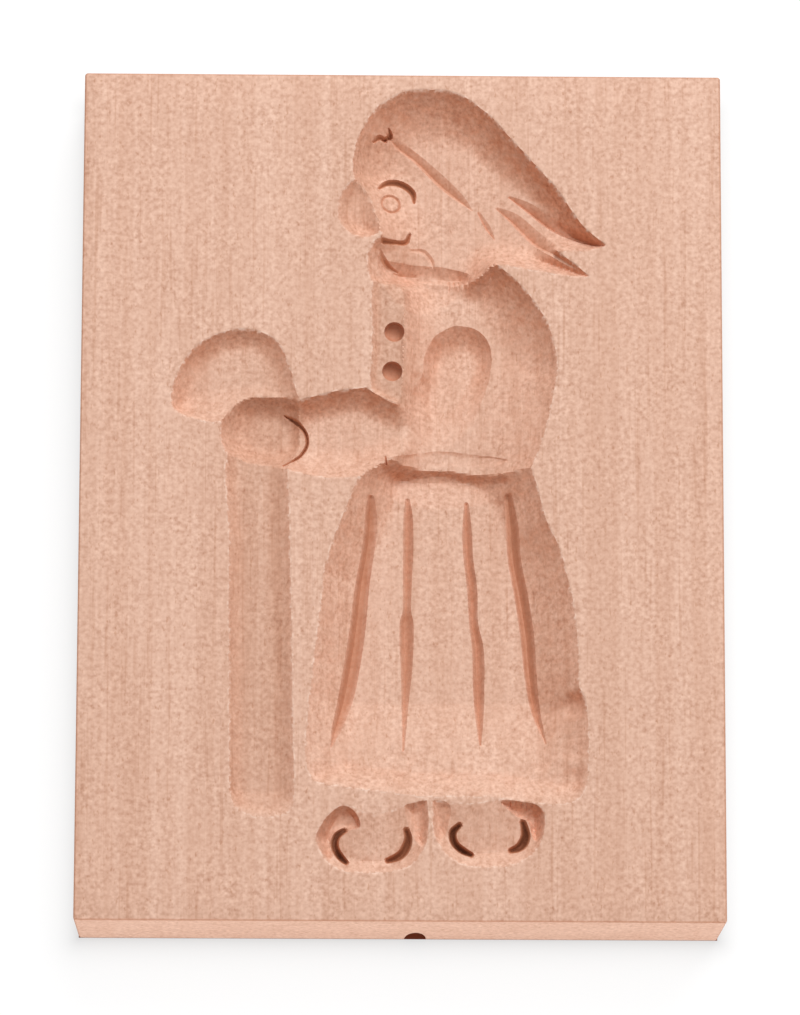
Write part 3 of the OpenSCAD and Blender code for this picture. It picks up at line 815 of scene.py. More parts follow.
@dataclass(frozen=True)
class WoodFinish:
    """Colours of the bare wood, linear, and how far painted shade darkens its walls.

    Attributes:
        pale: Colour of the planed face.
        dark: Colour of growth rings and of the toned hollows.
        painted_shade: Colour of the painted shade on the walls and in the corners of the hollows.
        mid_stain_and_shade: Colour of the lighter painted shade in the narrow cuts and of the darker eased
            edges.
        stain_and_shade: Colour of the darkest painted shade in the narrow cuts.
        light: Colour of the pale rims of the hollows, partly broken fibres and partly a painted highlight.
        drilled: Colour of the wall of the drilled hole, darkened as painted shade.
        streak: Share of the ground's colour that its streaks, lines and pores keep.
        bright: The same for its pale flecks.
        dull: The same for its dull flecks.
        side_wall_shade: Share of the painted shade in walls that face either side.
        left_wall_shade: Further share of it in walls that face the left.
        lower_wall_shade: Share of it in walls that face the lower end.
        most: Most painted shade that a wall takes.
        corner: Share of the painted shade in the corners.
        specular: Level of the wood's mirror light.
    """

    pale: Triple = (0.776, 0.487, 0.363)
    dark: Triple = (0.560, 0.300, 0.196)
    painted_shade: Triple = (0.700, 0.262, 0.132)
    mid_stain_and_shade: Triple = (0.500, 0.190, 0.095)
    stain_and_shade: Triple = (0.085, 0.018, 0.006)
    light: Triple = (0.930, 0.740, 0.630)
    drilled: Triple = (0.46, 0.17, 0.085)
    streak: Triple = (0.78, 0.66, 0.58)
    bright: Triple = (1.17, 1.24, 1.28)
    dull: Triple = (0.81, 0.73, 0.69)
    side_wall_shade: float = 0.2
    left_wall_shade: float = 0.22
    lower_wall_shade: float = 0.8
    most: float = 0.85
    corner: float = 0.16
    specular: float = 0.25


@dataclass(frozen=True)
class Surface:
    """How one kind of wood surface is finished.

    Attributes:
        name: Name of its material.
        rough: Roughness of its dull flecks and of its pale ones.
        fibre: Height of its raised fibres.
        marks: Kinds of mark that the points of the mesh carry for it.
        strength: How strongly the grain shows.
        stretch: Stretch of the grain, which shortens the fibres where they are seen end on.
    """

    name: str
    rough: Spot
    fibre: float
    marks: tuple[str, ...] = ("Stain_and_shade",)
    strength: float = 1.0
    stretch: Triple = (1.0, 1.0, 1.0)


SURFACES = {
    Grain.PLANED: Surface("planed_wood", (0.64, 0.52), 0.03),
    Grain.CARVED: Surface("carved_wood", (0.74, 0.60), 0.045, marks=("Stain_and_shade", "Burr_and_highlight")),
    Grain.END: Surface("end_grain_wood", (0.76, 0.62), 0.04, stretch=(1.0, 9.0, 1.0)),
    Grain.DRILLED: Surface("drilled_wood", (0.9, 0.78), 0.05, marks=(), strength=0.7),
}


class Shade:
    """A node tree with short calls to add nodes and join them."""

    def __init__(self, tree: bpy.types.NodeTree) -> None:
        """Keep the tree."""
        self.tree = tree

    @classmethod
    def fresh(cls, owner: bpy.types.Material | bpy.types.World) -> "Shade":
        """Empty the nodes of a material or world.

        Args:
            owner: The material or world.

        Returns:
            Its tree, ready for new nodes.
        """
        owner.use_nodes = True
        owner.node_tree.nodes.clear()
        return cls(owner.node_tree)

    def node(self, kind: str, feeds: Feeds | None = None, **values: object) -> bpy.types.Node:
        """Add a node.

        Args:
            kind: The node's type, without the leading ShaderNode.
            feeds: What its inputs take, by their names or numbers.
            **values: Its own settings by attribute name.

        Returns:
            The new node.
        """
        made = self.tree.nodes.new("ShaderNode" + kind)
        for key, value in values.items():
            setattr(made, key, value)
        for key, value in (feeds or {}).items():
            self.feed(made.inputs[key], value)
        return made

    def feed(self, socket: Socket, value: object) -> None:
        """Join an output to a socket, or set the socket's own value.

        Args:
            socket: The input socket.
            value: An output, a number, a vector or a colour without its alpha.
        """
        if isinstance(value, Socket):
            self.tree.links.new(value, socket)
        else:
            socket.default_value = (*value, 1.0) if socket.type == "RGBA" else value

    def noise(self, vector: Socket, scale: float, detail: float = 2.0, roughness: float = 0.5) -> Socket:
        """Add a noise texture and give its value."""
        feeds = {"Vector": vector, "Scale": scale, "Detail": detail, "Roughness": roughness}
        return self.node("TexNoise", feeds).outputs[0]

    def streaky(self, place: Socket, across: float, along: float, detail: float, roughness: float) -> Socket:
        """Add noise with its own scale across the grain and along it."""
        return self.noise(self.scaled(place, (across, along, across)), 1.0, detail, roughness)

    def scaled(self, vector: Socket, by: Triple) -> Socket:
        """Multiply a vector by another, part by part."""
        return self.node("VectorMath", {0: vector, 1: by}, operation="MULTIPLY").outputs[0]

    def maths(self, operation: str, a: object, b: object = 0.0) -> Socket:
        """Work out one sum of two values."""
        return self.node("Math", {0: a, 1: b}, operation=operation).outputs[0]

    def ramp(
        self, value: Socket, low: float, high: float, to_low: float = 0.0, to_high: float = 1.0
    ) -> Socket:
        """Map a range of a value onto another range, and hold it there."""
        feeds = dict(enumerate((value, low, high, to_low, to_high)))
        return self.node("MapRange", feeds, clamp=True).outputs[0]

    def mix(self, factor: object, a: object, b: object, way: str = "MIX") -> Socket:
        """Mix two colours in a way that the node names."""
        return self.node("Mix", {0: factor, 6: a, 7: b}, data_type="RGBA", blend_type=way).outputs[2]

    def mark(self, name: str) -> Socket:
        """Give the value that the points of the mesh carry under a name."""
        return self.node("Attribute", attribute_name=name).outputs["Fac"]


class GroupShade(Shade):
    """The tree of a new shader node group."""

    def __init__(self, name: str, inputs: dict[str, str], outputs: dict[str, str]) -> None:
        """Start the group.

        Args:
            name: Name of the group.
            inputs: Socket types of its inputs by name.
            outputs: Socket types of its outputs by name.
        """
        super().__init__(bpy.data.node_groups.new(name, "ShaderNodeTree"))
        for way, sockets in (("INPUT", inputs), ("OUTPUT", outputs)):
            for key, kind in sockets.items():
                self.tree.interface.new_socket(key, in_out=way, socket_type="NodeSocket" + kind)
        self.given = self.tree.nodes.new("NodeGroupInput").outputs
        self.made = self.tree.nodes.new("NodeGroupOutput").inputs

    def close(self, results: dict[str, Socket]) -> bpy.types.NodeTree:
        """Finish the group.

        Args:
            results: What its outputs give, by name.

        Returns:
            The group.
        """
        for key, value in results.items():
            self.feed(self.made[key], value)
        return self.tree


def grain_group() -> bpy.types.NodeTree:
    """Build the grain: streaks and thin lines along it, flecks, pores and the height of its fibres.

    Returns:
        The node group. Its Place is in millimetres, with the grain along y. Flecks are dull below 0.5, and
        pale above.
    """
    shade = GroupShade("wood_grain", {"Place": "Vector"}, dict.fromkeys((*LAYERS, "Height"), "Float"))
    place = shade.given["Place"]
    broad = shade.streaky(place, 0.17, 0.004, 2.0, 0.6)
    narrow = shade.streaky(place, 0.75, 0.014, 2.0, 0.6)
    lines = shade.streaky(place, 1.7, 0.05, 1.0, 0.5)
    fine = shade.streaky(place, 1.42, 1.491, 1.5, 0.6)
    pores = shade.streaky(place, 2.3, 1.1, 1.0, 0.5)
    fibres = shade.streaky(place, 3.2, 0.22, 2.0, 0.6)
    patches = shade.ramp(shade.noise(place, 0.14), 0.35, 0.65, 0.75, 1.25)
    flecks = shade.maths("MULTIPLY", shade.maths("SUBTRACT", fine, 0.5), patches)
    streaks = shade.maths("ADD", shade.maths("MULTIPLY", broad, 0.4), shade.maths("MULTIPLY", narrow, 0.6))
    return shade.close({
        "Streaks": streaks,
        "Lines": shade.ramp(lines, 0.60, 0.74),
        "Flecks": shade.maths("ADD", flecks, 0.5),
        "Pores": shade.ramp(pores, 0.64, 0.78),
        "Height": shade.maths("ADD", fibres, shade.maths("MULTIPLY", fine, 0.6)),
    })


def tone_group(finish: WoodFinish) -> bpy.types.NodeTree:
    """Build the colouring of the wood from its grain.

    Args:
        finish: Colours of the wood.

    Returns:
        The node group, which takes the colour of the ground and gives it with the grain in it.
    """
    inputs = {"Ground": "Color", **dict.fromkeys((*LAYERS, "Strength"), "Float")}
    shade = GroupShade("wood_tone", inputs, {"Color": "Color"})
    given = shade.given
    parts = (
        (shade.ramp(given["Streaks"], 0.40, 0.62, 0.0, 0.42), finish.streak),
        (shade.maths("MULTIPLY", given["Lines"], 0.42), finish.streak),
        (shade.ramp(given["Flecks"], 0.50, 0.80), finish.bright),
        (shade.ramp(given["Flecks"], 0.50, 0.20), finish.dull),
        (shade.maths("MULTIPLY", given["Pores"], 0.75), finish.streak),
    )
    color = given["Ground"]
    for share, tint in parts:
        tinted = shade.mix(1.0, color, tint, "MULTIPLY")
        color = shade.mix(shade.maths("MULTIPLY", share, given["Strength"]), color, tinted)
    return shade.close({"Color": color})


def marks_group(finish: WoodFinish) -> bpy.types.NodeTree:
    """Build the marks on the wood: pale rims, partly broken fibres and partly a painted highlight, painted
    shade in the cuts, and darker eased edges.

    Args:
        finish: Colours of the wood.

    Returns:
        The node group, which takes a colour and gives it with the marks on it.
    """
    inputs = {"Ground": "Color", "Stain_and_shade": "Float", "Burr_and_highlight": "Float", "Flecks": "Float"}
    shade = GroupShade("wood_marks_and_painted_light", inputs, {"Color": "Color"})
    given = shade.given
    # Pale rims of the hollows: partly broken fibres, partly a painted highlight.
    painted_shade_and_pale_rim = shade.maths("MULTIPLY", given["Burr_and_highlight"], shade.ramp(given["Flecks"], 0.42, 0.62, 0.0, 0.5))
    color = shade.mix(painted_shade_and_pale_rim, given["Ground"], finish.light)
    # Painted shade in the narrow cuts, and the darker eased edges.
    color = shade.mix(shade.ramp(given["Stain_and_shade"], 0.0, 0.5), color, finish.mid_stain_and_shade)
    return shade.close({"Color": shade.mix(shade.ramp(given["Stain_and_shade"], 0.5, 1.0), color, finish.stain_and_shade)})


@dataclass
class Wood:
    """The wood of the block, with a material for each kind of surface.

    Attributes:
        finish: Its colours.
        pith: Middle of its growth rings, in millimetres.
        ring_rate: Turn of the rings' wave in a millimetre, in radians.
    """

    finish: WoodFinish = field(default_factory=WoodFinish)
    pith: Triple = (18.0, 0.0, -120.0)
    ring_rate: float = 2.6

    def __post_init__(self) -> None:
        """Build the groups that the materials share."""
        self.grain = grain_group()
        self.tone = tone_group(self.finish)
        self.marks = marks_group(self.finish)

    def material(self, kind: Grain) -> bpy.types.Material:
        """Make the material of one kind of surface.

        Args:
            kind: The kind of surface.

        Returns:
            The material.
        """
        surface = SURFACES[kind]
        material = bpy.data.materials.new(surface.name)
        shade = Shade.fresh(material)
        place = shade.scaled(shade.node("TexCoord").outputs["Object"], (1 / MM, 1 / MM, 1 / MM))
        stretched = shade.scaled(place, surface.stretch)
        grain = shade.node("Group", {"Place": stretched}, node_tree=self.grain).outputs
        feeds = {"Ground": self.ground(kind, shade, place), "Strength": surface.strength}
        feeds.update({key: grain[key] for key in LAYERS})
        color = shade.node("Group", feeds, node_tree=self.tone).outputs["Color"]
        feeds = {"Ground": color, "Flecks": grain["Flecks"]}
        feeds.update({key: shade.mark(key.lower()) for key in surface.marks})
        color = shade.node("Group", feeds, node_tree=self.marks).outputs["Color"]
        bump = {"Strength": 1.0, "Distance": surface.fibre * MM, "Height": grain["Height"]}
        feeds = {
            "Base Color": color,
            "Roughness": shade.ramp(grain["Flecks"], 0.3, 0.7, *surface.rough),
            "Specular IOR Level": self.finish.specular,
            "Normal": shade.node("Bump", bump).outputs[0],
        }
        shader = shade.node("BsdfPrincipled", feeds)
        shade.node("OutputMaterial", {"Surface": shader.outputs[0]})
        return material

    def ground(self, kind: Grain, shade: Shade, place: Socket) -> Socket | Triple:
        """Give the colour under the grain.

        Args:
            kind: The kind of surface.
            shade: Tree of its material.
            place: Place on the block in millimetres.

        Returns:
            The colour.
        """
        if kind is Grain.CARVED:
            return self.carved(shade, place)
        if kind is Grain.END:
            return self.ringed(shade, place)
        # The wall of the drilled hole takes a darker colour, which paints its shade.
        return self.finish.drilled if kind is Grain.DRILLED else self.finish.pale

    def carved(self, shade: Shade, place: Socket) -> Socket:
        """Colour the hollows, with painted shade on their walls by the way that these face, and in their
        corners.

        Args:
            shade: Tree of the material.
            place: Place on the block in millimetres.

        Returns:
            The colour.
        """
        finish = self.finish
        x, y, _ = shade.node("SeparateXYZ", {0: shade.node("NewGeometry").outputs["Normal"]}).outputs
        # Painted shade on the walls of the hollows: most on those that face the lower end, some on those
        # that face either side, and more on those that face the left.
        sides = shade.maths("MULTIPLY", shade.maths("ABSOLUTE", x), finish.side_wall_shade)
        left = shade.maths("MULTIPLY", shade.maths("MINIMUM", x, 0.0), -finish.left_wall_shade)
        lower = shade.maths("MULTIPLY", shade.maths("MINIMUM", y, 0.0), -finish.lower_wall_shade)
        painted_shade_and_pale_rim = shade.maths("ADD", shade.maths("ADD", sides, left), lower)
        blotch = shade.ramp(shade.noise(place, 0.7, 4.0, 0.7), 0.3, 0.7, 0.6, 1.4)
        painted_shade_and_pale_rim = shade.maths("MINIMUM", shade.maths("MULTIPLY", painted_shade_and_pale_rim, blotch), finish.most)
        color = shade.mix(painted_shade_and_pale_rim, finish.pale, finish.painted_shade)
        # Painted shade in the corners of the hollows.
        color = shade.mix(shade.maths("MULTIPLY", shade.mark("corner"), finish.corner), color, finish.painted_shade)
        return shade.mix(shade.mark("tone"), color, finish.dark)

    def ringed(self, shade: Shade, place: Socket) -> Socket:
        """Colour the planed ends, which show the growth rings end on.

        Args:
            shade: Tree of the material.
            place: Place on the block in millimetres.

        Returns:
            The colour.
        """
        feeds = {0: shade.scaled(place, (1.0, 0.0, 1.0)), 1: self.pith}
        away = shade.node("VectorMath", feeds, operation="DISTANCE").outputs["Value"]
        wave = shade.maths("SINE", shade.maths("MULTIPLY", away, self.ring_rate))
        return shade.mix(shade.ramp(wave, 0.2, 1.0, 0.0, 0.1), self.finish.pale, self.finish.dark)


# The block.


@dataclass
class MouldBlock:
    """The carved block, one piece of wood.

    Attributes:
        width: Size across the grain.
        height: Size along the grain.
        thickness: Size through the face.
        arris: Width of the eased edges.
        corner: Radius of the four upright edges.
        round_steps: Number of steps round a corner or an eased edge.
        side_rows: Number of rows of points down the sides, with those of the eased edges at both ends.
        hole_radius: Radius of the slanted hole at the lower end.
        hole_depth: Depth of the hole.
        hole_lean: Lean of the hole into the block, in degrees.
        hole_x: Place of the hole across the block.
        fine: Distance between points on the smallest marks.
        row_gap: Distance between rows of the fine points, as a share of that between the points.
        coarse: Distance between points on the bare ground.
        edge_step: Distance between points along the edges of the block.
        corner_depth: Depth below the floor around it at which a corner takes its full painted shade.
        edge_darkness: How dark the eased edges are, from 0 to 1.
        figure: The carving in its face.
    """

    width: float = SIZE[0]
    height: float = SIZE[1]
    thickness: float = SIZE[2]
    arris: float = 0.35
    corner: float = 0.45
    round_steps: int = 4
    side_rows: int = 8
    hole_radius: float = 1.7
    hole_depth: float = 10.0
    hole_lean: float = 12.0
    hole_x: float = 2.6
    fine: float = 0.19
    row_gap: float = 0.866
    coarse: float = 4.0
    edge_step: float = 2.5
    corner_depth: float = 0.35
    edge_darkness: float = 0.45
    figure: Figure = field(default_factory=Figure)

    def ring(self, inset: float) -> np.ndarray:
        """Give the outline of the block, drawn in by an inset.

        Args:
            inset: Distance inside the full outline.

        Returns:
            Points once round, as many for every inset.
        """
        rx, ry = self.width / 2 - self.corner, self.height / 2 - self.corner
        r = self.corner - inset
        middles = np.array([(rx, ry), (-rx, ry), (-rx, -ry), (rx, -ry)])
        points = []
        for quarter, middle in enumerate(middles):
            for k in range(self.round_steps + 1):
                turn = (quarter + k / self.round_steps) * math.pi / 2
                points.append(middle + r * np.array([math.cos(turn), math.sin(turn)]))
            run = middles[(quarter + 1) % 4] - middle
            count = round(np.linalg.norm(run) / self.edge_step)
            points += [points[-1] + k / count * run for k in range(1, count)]
        return np.array(points)

    def lattice(self, lines: list[tuple[np.ndarray, bool]]) -> np.ndarray:
        """Spread points over the figure, finest round the small marks and clear of its lines.

        Args:
            lines: Lines that the mesh follows.

        Returns:
            The points.
        """
        cell, margin = 0.1, 2.0
        clear, around = 0.16, 0.9
        left, low, wide, high = -38.0, -2.0, 72.0, 128.0
        shift = np.array([self.width / 2, self.height / 2 + SOLE_Y]) + margin

        def cells(spots: np.ndarray) -> tuple[np.ndarray, ...]:
            """Give the columns and rows of the cells in which spots lie."""
            return tuple(np.floor((spots + shift) / cell).astype(int).T)

        def stamp(spots: np.ndarray, reach: float) -> np.ndarray:
            """Mark the cells near spots.

            Args:
                spots: The spots.
                reach: Distance up to which a cell is near.

            Returns:
                True for each cell that is near a spot.
            """
            marked = np.zeros([int((side + 2 * margin) / cell) for side in (self.width, self.height)], bool)
            x, y = cells(spots)
            n = math.ceil(reach / cell)
            for i, j in np.ndindex(2 * n + 1, 2 * n + 1):
                if math.hypot(i - n, j - n) * cell <= reach:
                    marked[x + i - n, y + j - n] = True
            return marked

        close = stamp(np.vstack([line for line, _ in lines]), clear)
        small = stamp(self.figure.fine_spots(), around)
        columns = np.arange(int(wide / self.fine))
        rows = np.arange(int(high / (self.fine * self.row_gap)))
        i, j = (part.ravel() for part in np.meshgrid(columns, rows))
        xy = np.column_stack([left + (i + 0.5 * (j % 2)) * self.fine, low + j * self.fine * self.row_gap])
        sparse = (j % 2 == 0) & ((i - (j // 2) % 2) % 2 == 0)
        xy = xy[(sparse | small[cells(xy)]) & ~close[cells(xy)]]
        shoulder = self.shoulder(1.3 * self.fine)
        return np.vstack([xy[self.covered(xy)], shoulder[~close[cells(shoulder)]]])

    def covered(self, xy: np.ndarray) -> np.ndarray:
        """Tell which points of the face lie inside any hollow."""
        return np.any([inside(xy, hollow.edge(RIM_STEP)) for hollow in self.figure.hollows], axis=0)

    def shoulder(self, reach: float) -> np.ndarray:
        """Give points on the ground just outside the hollows, where their edges begin to round over.

        Args:
            reach: Distance outside the rims.

        Returns:
            The points that lie in no hollow.
        """
        found = []
        for hollow in self.figure.hollows:
            loop = hollow.edge(LINE_STEP)[:, :2]
            run = np.roll(loop, -1, axis=0) - np.roll(loop, 1, axis=0)
            length = np.maximum(np.linalg.norm(run, axis=1), TINY)[:, None]
            side = np.stack([-run[:, 1], run[:, 0]], 1) / length
            found += [loop + reach * side, loop - reach * side]
        spots = np.vstack(found)
        return spots[~self.covered(spots)]

    def face_mesh(self) -> bpy.types.Mesh:
        """Build the upper face with the carving in it.

        Returns:
            A mesh whose border is the inner ring of the eased edge.
        """
        lines = self.figure.lines() + [(self.ring(self.arris) - np.array([0, SOLE_Y]), True)]
        across, along = np.arange(-46, 47, self.coarse), np.arange(-4, 124, self.coarse)
        ground = np.stack(np.meshgrid(across, along), 2).reshape(-1, 2)
        edges, start = [], 0
        for line, closed in lines:
            n = len(line)
            edges += [(start + k, start + (k + 1) % n) for k in range(n if closed else n - 1)]
            start += n
        parts = [line for line, _ in lines] + [ground[~self.covered(ground)], self.lattice(lines)]
        points = [Vector(spot) for spot in np.vstack(parts)]
        merged = 1e-4
        verts, _, faces, *_ = delaunay_2d_cdt(points, edges, [], 0, merged, False)
        xy, faces = np.array([tuple(v) for v in verts]), np.array(faces)
        depth = self.figure.depth(xy)
        cut = (depth[faces] > CUT).any(1)
        mesh = bpy.data.meshes.new("carved_face")
        co = np.column_stack([xy[:, 0], xy[:, 1] + SOLE_Y, self.thickness - depth]) * MM
        mesh.from_pydata(co.tolist(), [], faces.tolist())
        kinds = np.where(cut, Grain.CARVED.value, Grain.PLANED.value)
        mesh.polygons.foreach_set("material_index", kinds.astype(np.int32))
        # Painted shade in the narrow cuts, painted shade in the corners, the tone of the hollows, and pale
        # rims that are partly a painted highlight.
        values = (
            self.figure.stain_and_shade(xy) * (depth > 0),
            self.hollow_corners(faces, depth),
            self.figure.tone(xy) * (depth > 0),
            np.isin(np.arange(len(xy)), faces[cut]) * (depth <= CUT),
        )
        for name, given in zip(MARKS, values):
            layer = mesh.attributes.new(name, "FLOAT", "POINT")
            layer.data.foreach_set("value", given.astype(np.float32))
        return mesh

    def hollow_corners(self, faces: np.ndarray, depth: np.ndarray) -> np.ndarray:
        """Find the corners of the hollows, which lie deeper than the mean of the points around them, for
        their painted shade.

        Args:
            faces: Triangles of the face.
            depth: Depth of each point.

        Returns:
            How much each point lies in a corner, from 0 to 1.
        """
        rounds = 10
        first = faces[:, [0, 1, 2, 1, 2, 0]].ravel()
        other = faces[:, [1, 2, 0, 0, 1, 2]].ravel()
        count = np.maximum(np.bincount(first, minlength=len(depth)), 1)
        smooth = depth
        for _ in range(rounds):
            total = np.bincount(first, smooth[other], len(depth))
            smooth = np.where(depth > 0, total / count, 0.0)
        return np.clip((depth - smooth) / self.corner_depth, 0, 1) * (depth > 0)

    def drill_mesh(self) -> bpy.types.Mesh:
        """Build the drill that cuts the slanted hole.

        Returns:
            Its mesh, which stands out below the block.
        """
        out = 2 * self.hole_radius
        length = self.hole_depth + out
        lean = Matrix.Rotation(math.radians(-self.hole_lean), 4, "X")
        spot = Matrix.Translation(Vector((self.hole_x, -self.height / 2, 0)) * MM)
        rise = Matrix.Translation(Vector((0, 0, length / 2 - out)) * MM)
        tool = bmesh.new()
        bmesh.ops.create_cone(
            tool,
            cap_ends=True,
            segments=48,
            radius1=self.hole_radius * MM,
            radius2=self.hole_radius * MM,
            depth=length * MM,
            matrix=spot @ lean @ rise,
        )
        drill = bpy.data.meshes.new("drill")
        tool.to_mesh(drill)
        tool.free()
        return drill

    def body_mesh(self) -> bpy.types.Mesh:
        """Build the block with plain faces, and the slanted hole cut into it.

        Returns:
            A closed mesh.
        """
        turns = [k * math.pi / 2 / self.round_steps for k in range(self.round_steps + 1)]
        eased = [(self.arris * (1 - math.cos(a)), self.arris * (1 - math.sin(a))) for a in turns]
        profile = [(inset, self.thickness - drop) for inset, drop in reversed(eased)]
        sides = np.linspace(self.thickness - self.arris, self.arris, self.side_rows)[1:-1]
        profile += [(0.0, z) for z in sides] + eased
        rows = [np.insert(self.ring(inset), 2, z, axis=1) for inset, z in profile]
        n = len(rows[0])
        faces = [list(range(n))]
        for start in range(0, (len(rows) - 1) * n, n):
            for i in range(n):
                after = (i + 1) % n
                faces.append([start + i, start + n + i, start + n + after, start + after])
        faces.append([(len(rows) - 1) * n + i for i in reversed(range(n))])
        solid = bpy.data.meshes.new("block_body")
        solid.from_pydata((np.vstack(rows) * MM).tolist(), [], faces)
        body, drill = put("block_body", solid), put("drill", self.drill_mesh())
        boolean = body.modifiers.new("hole", "BOOLEAN")
        boolean.operation = "DIFFERENCE"
        boolean.solver = "EXACT"
        boolean.object = drill
        ready = body.evaluated_get(bpy.context.evaluated_depsgraph_get())
        result = bpy.data.meshes.new_from_object(ready)
        for piece in (body, drill):
            bpy.data.objects.remove(piece)
        return result

    def build(self) -> bpy.types.Object:
        """Build the whole block as one closed mesh.

        Returns:
            The block's object.
        """
        whole = bmesh.new()
        whole.from_mesh(self.body_mesh())
        flush, weld = 1e-4 * MM, 0.02 * MM
        top = self.thickness * MM - flush
        lids = [f for f in whole.faces if f.calc_center_median().z > top and f.normal.z > 0.9]
        bmesh.ops.delete(whole, geom=lids, context="FACES_ONLY")
        for name in MARKS:
            whole.verts.layers.float.new(name)
        stain_and_shade = whole.verts.layers.float["stain_and_shade"]
        for vert in whole.verts:
            vert[stain_and_shade] = self.edge_darkening(vert.co / MM)
        for face in whole.faces:
            face.material_index = self.kind_of(face).value
        whole.from_mesh(self.face_mesh())
        border = [v for v in whole.verts if any(e.is_boundary for e in v.link_edges)]
        bmesh.ops.remove_doubles(whole, verts=border, dist=weld)
        bmesh.ops.recalc_face_normals(whole, faces=whole.faces)
        self.soften(whole)
        LOG.info("open edges of the block: %d", sum(not e.is_manifold for e in whole.edges))
        mesh = bpy.data.meshes.new("carved_block")
        whole.to_mesh(mesh)
        whole.free()
        self.unwrap(mesh)
        return put("carved_block", mesh)

    def soften(self, whole: bmesh.types.BMesh) -> None:
        """Shade the surface smoothly, except over its sharp edges.

        Args:
            whole: The mesh of the whole block.
        """
        sharp, sharp_rim = math.radians(22), math.radians(70)
        for face in whole.faces:
            face.smooth = True
        for edge in whole.edges:
            if len(edge.link_faces) == 2:
                rim = {f.material_index for f in edge.link_faces} == {Grain.PLANED.value, Grain.CARVED.value}
                edge.smooth = edge.calc_face_angle(0.0) < (sharp_rim if rim else sharp)

    def edge_darkening(self, at: Vector) -> float:
        """Give how dark a point of the sides and back is, most on the eased edges.

        Args:
            at: The point in millimetres.

        Returns:
            The darkness, from 0 to 1.
        """
        middle, half = (0, 0, self.thickness / 2), (self.width / 2, self.height / 2, self.thickness / 2)
        gaps = sorted(h - abs(a - m) for a, m, h in zip(at, middle, half))
        return max(0.0, self.edge_darkness * (1 - gaps[1] / self.arris))

    def kind_of(self, face: bmesh.types.BMFace) -> Grain:
        """Tell which kind of surface a face of the sides and back is.

        Args:
            face: The face.

        Returns:
            The kind of its surface.
        """
        near = 1e-3
        centre = face.calc_center_median() / MM
        lean = math.radians(self.hole_lean)
        inward = centre.y + self.height / 2
        across = inward * math.cos(lean) - centre.z * math.sin(lean)
        within = math.hypot(centre.x - self.hole_x, across) < self.hole_radius * (1 + near)
        if within and inward > near and near < centre.z < self.hole_depth + 1:
            return Grain.DRILLED
        return Grain.END if abs(face.normal.y) > 0.75 else Grain.PLANED

    def unwrap(self, mesh: bpy.types.Mesh) -> None:
        """Lay the surface out flat for baking, the carved face largest.

        Args:
            mesh: The finished mesh.
        """

        def read(items: bpy.types.bpy_prop_collection, key: str, width: int, kind: type) -> np.ndarray:
            """Read one property of every item.

            Args:
                items: The items.
                key: Name of the property.
                width: Number of values in it.
                kind: Type of the values.

            Returns:
                One row for each item.
            """
            found = np.empty(len(items) * width, kind)
            items.foreach_get(key, found)
            return found.reshape(-1, width)

        normals = read(mesh.polygons, "normal", 3, float)
        kinds = read(mesh.polygons, "material_index", 1, np.int32)[:, 0]
        sizes = read(mesh.polygons, "loop_total", 1, np.int32)[:, 0]
        corners = read(mesh.loops, "vertex_index", 1, np.int32)[:, 0]
        x, y, z = (read(mesh.vertices, "co", 3, float)[corners] / MM).T
        axis = np.abs(normals).argmax(1)
        side = axis * 2 + (normals[np.arange(len(axis)), axis] > 0)
        side[kinds == Grain.CARVED.value] = 5
        side[kinds == Grain.DRILLED.value] = 6
        side = np.repeat(side, sizes)
        right, up, left = x + self.width / 2, y + self.height / 2, self.width / 2 - x
        big, small, hole = 1 / 151, 1 / 334, 1 / 60
        layout = (
            (z, up, small, 0.77, 0.43),
            (z, up, small, 0.69, 0.43),
            (right, z, small, 0.69, 0.86),
            (right, z, small, 0.69, 0.93),
            (left, up, small, 0.69, 0.01),
            (right, up, big, 0.01, 0.01),
            (x - self.hole_x + 3, z + up * 0.3, hole, 0.86, 0.45),
        )
        uv = np.zeros((len(corners), 2))
        for k, (u, v, scale, first, low) in enumerate(layout):
            uv[side == k] = np.column_stack([first + u * scale, low + v * scale])[side == k]
        layer = mesh.uv_layers.new(name="OFBake")
        layer.data.foreach_set("uv", uv.astype(np.float32).ravel())

    def dress(self, block: bpy.types.Object, wood: Wood) -> None:
        """Give the block the materials of its wood, in the order of its slots."""
        for kind in Grain:
            block.data.materials.append(wood.material(kind))


# The studio.


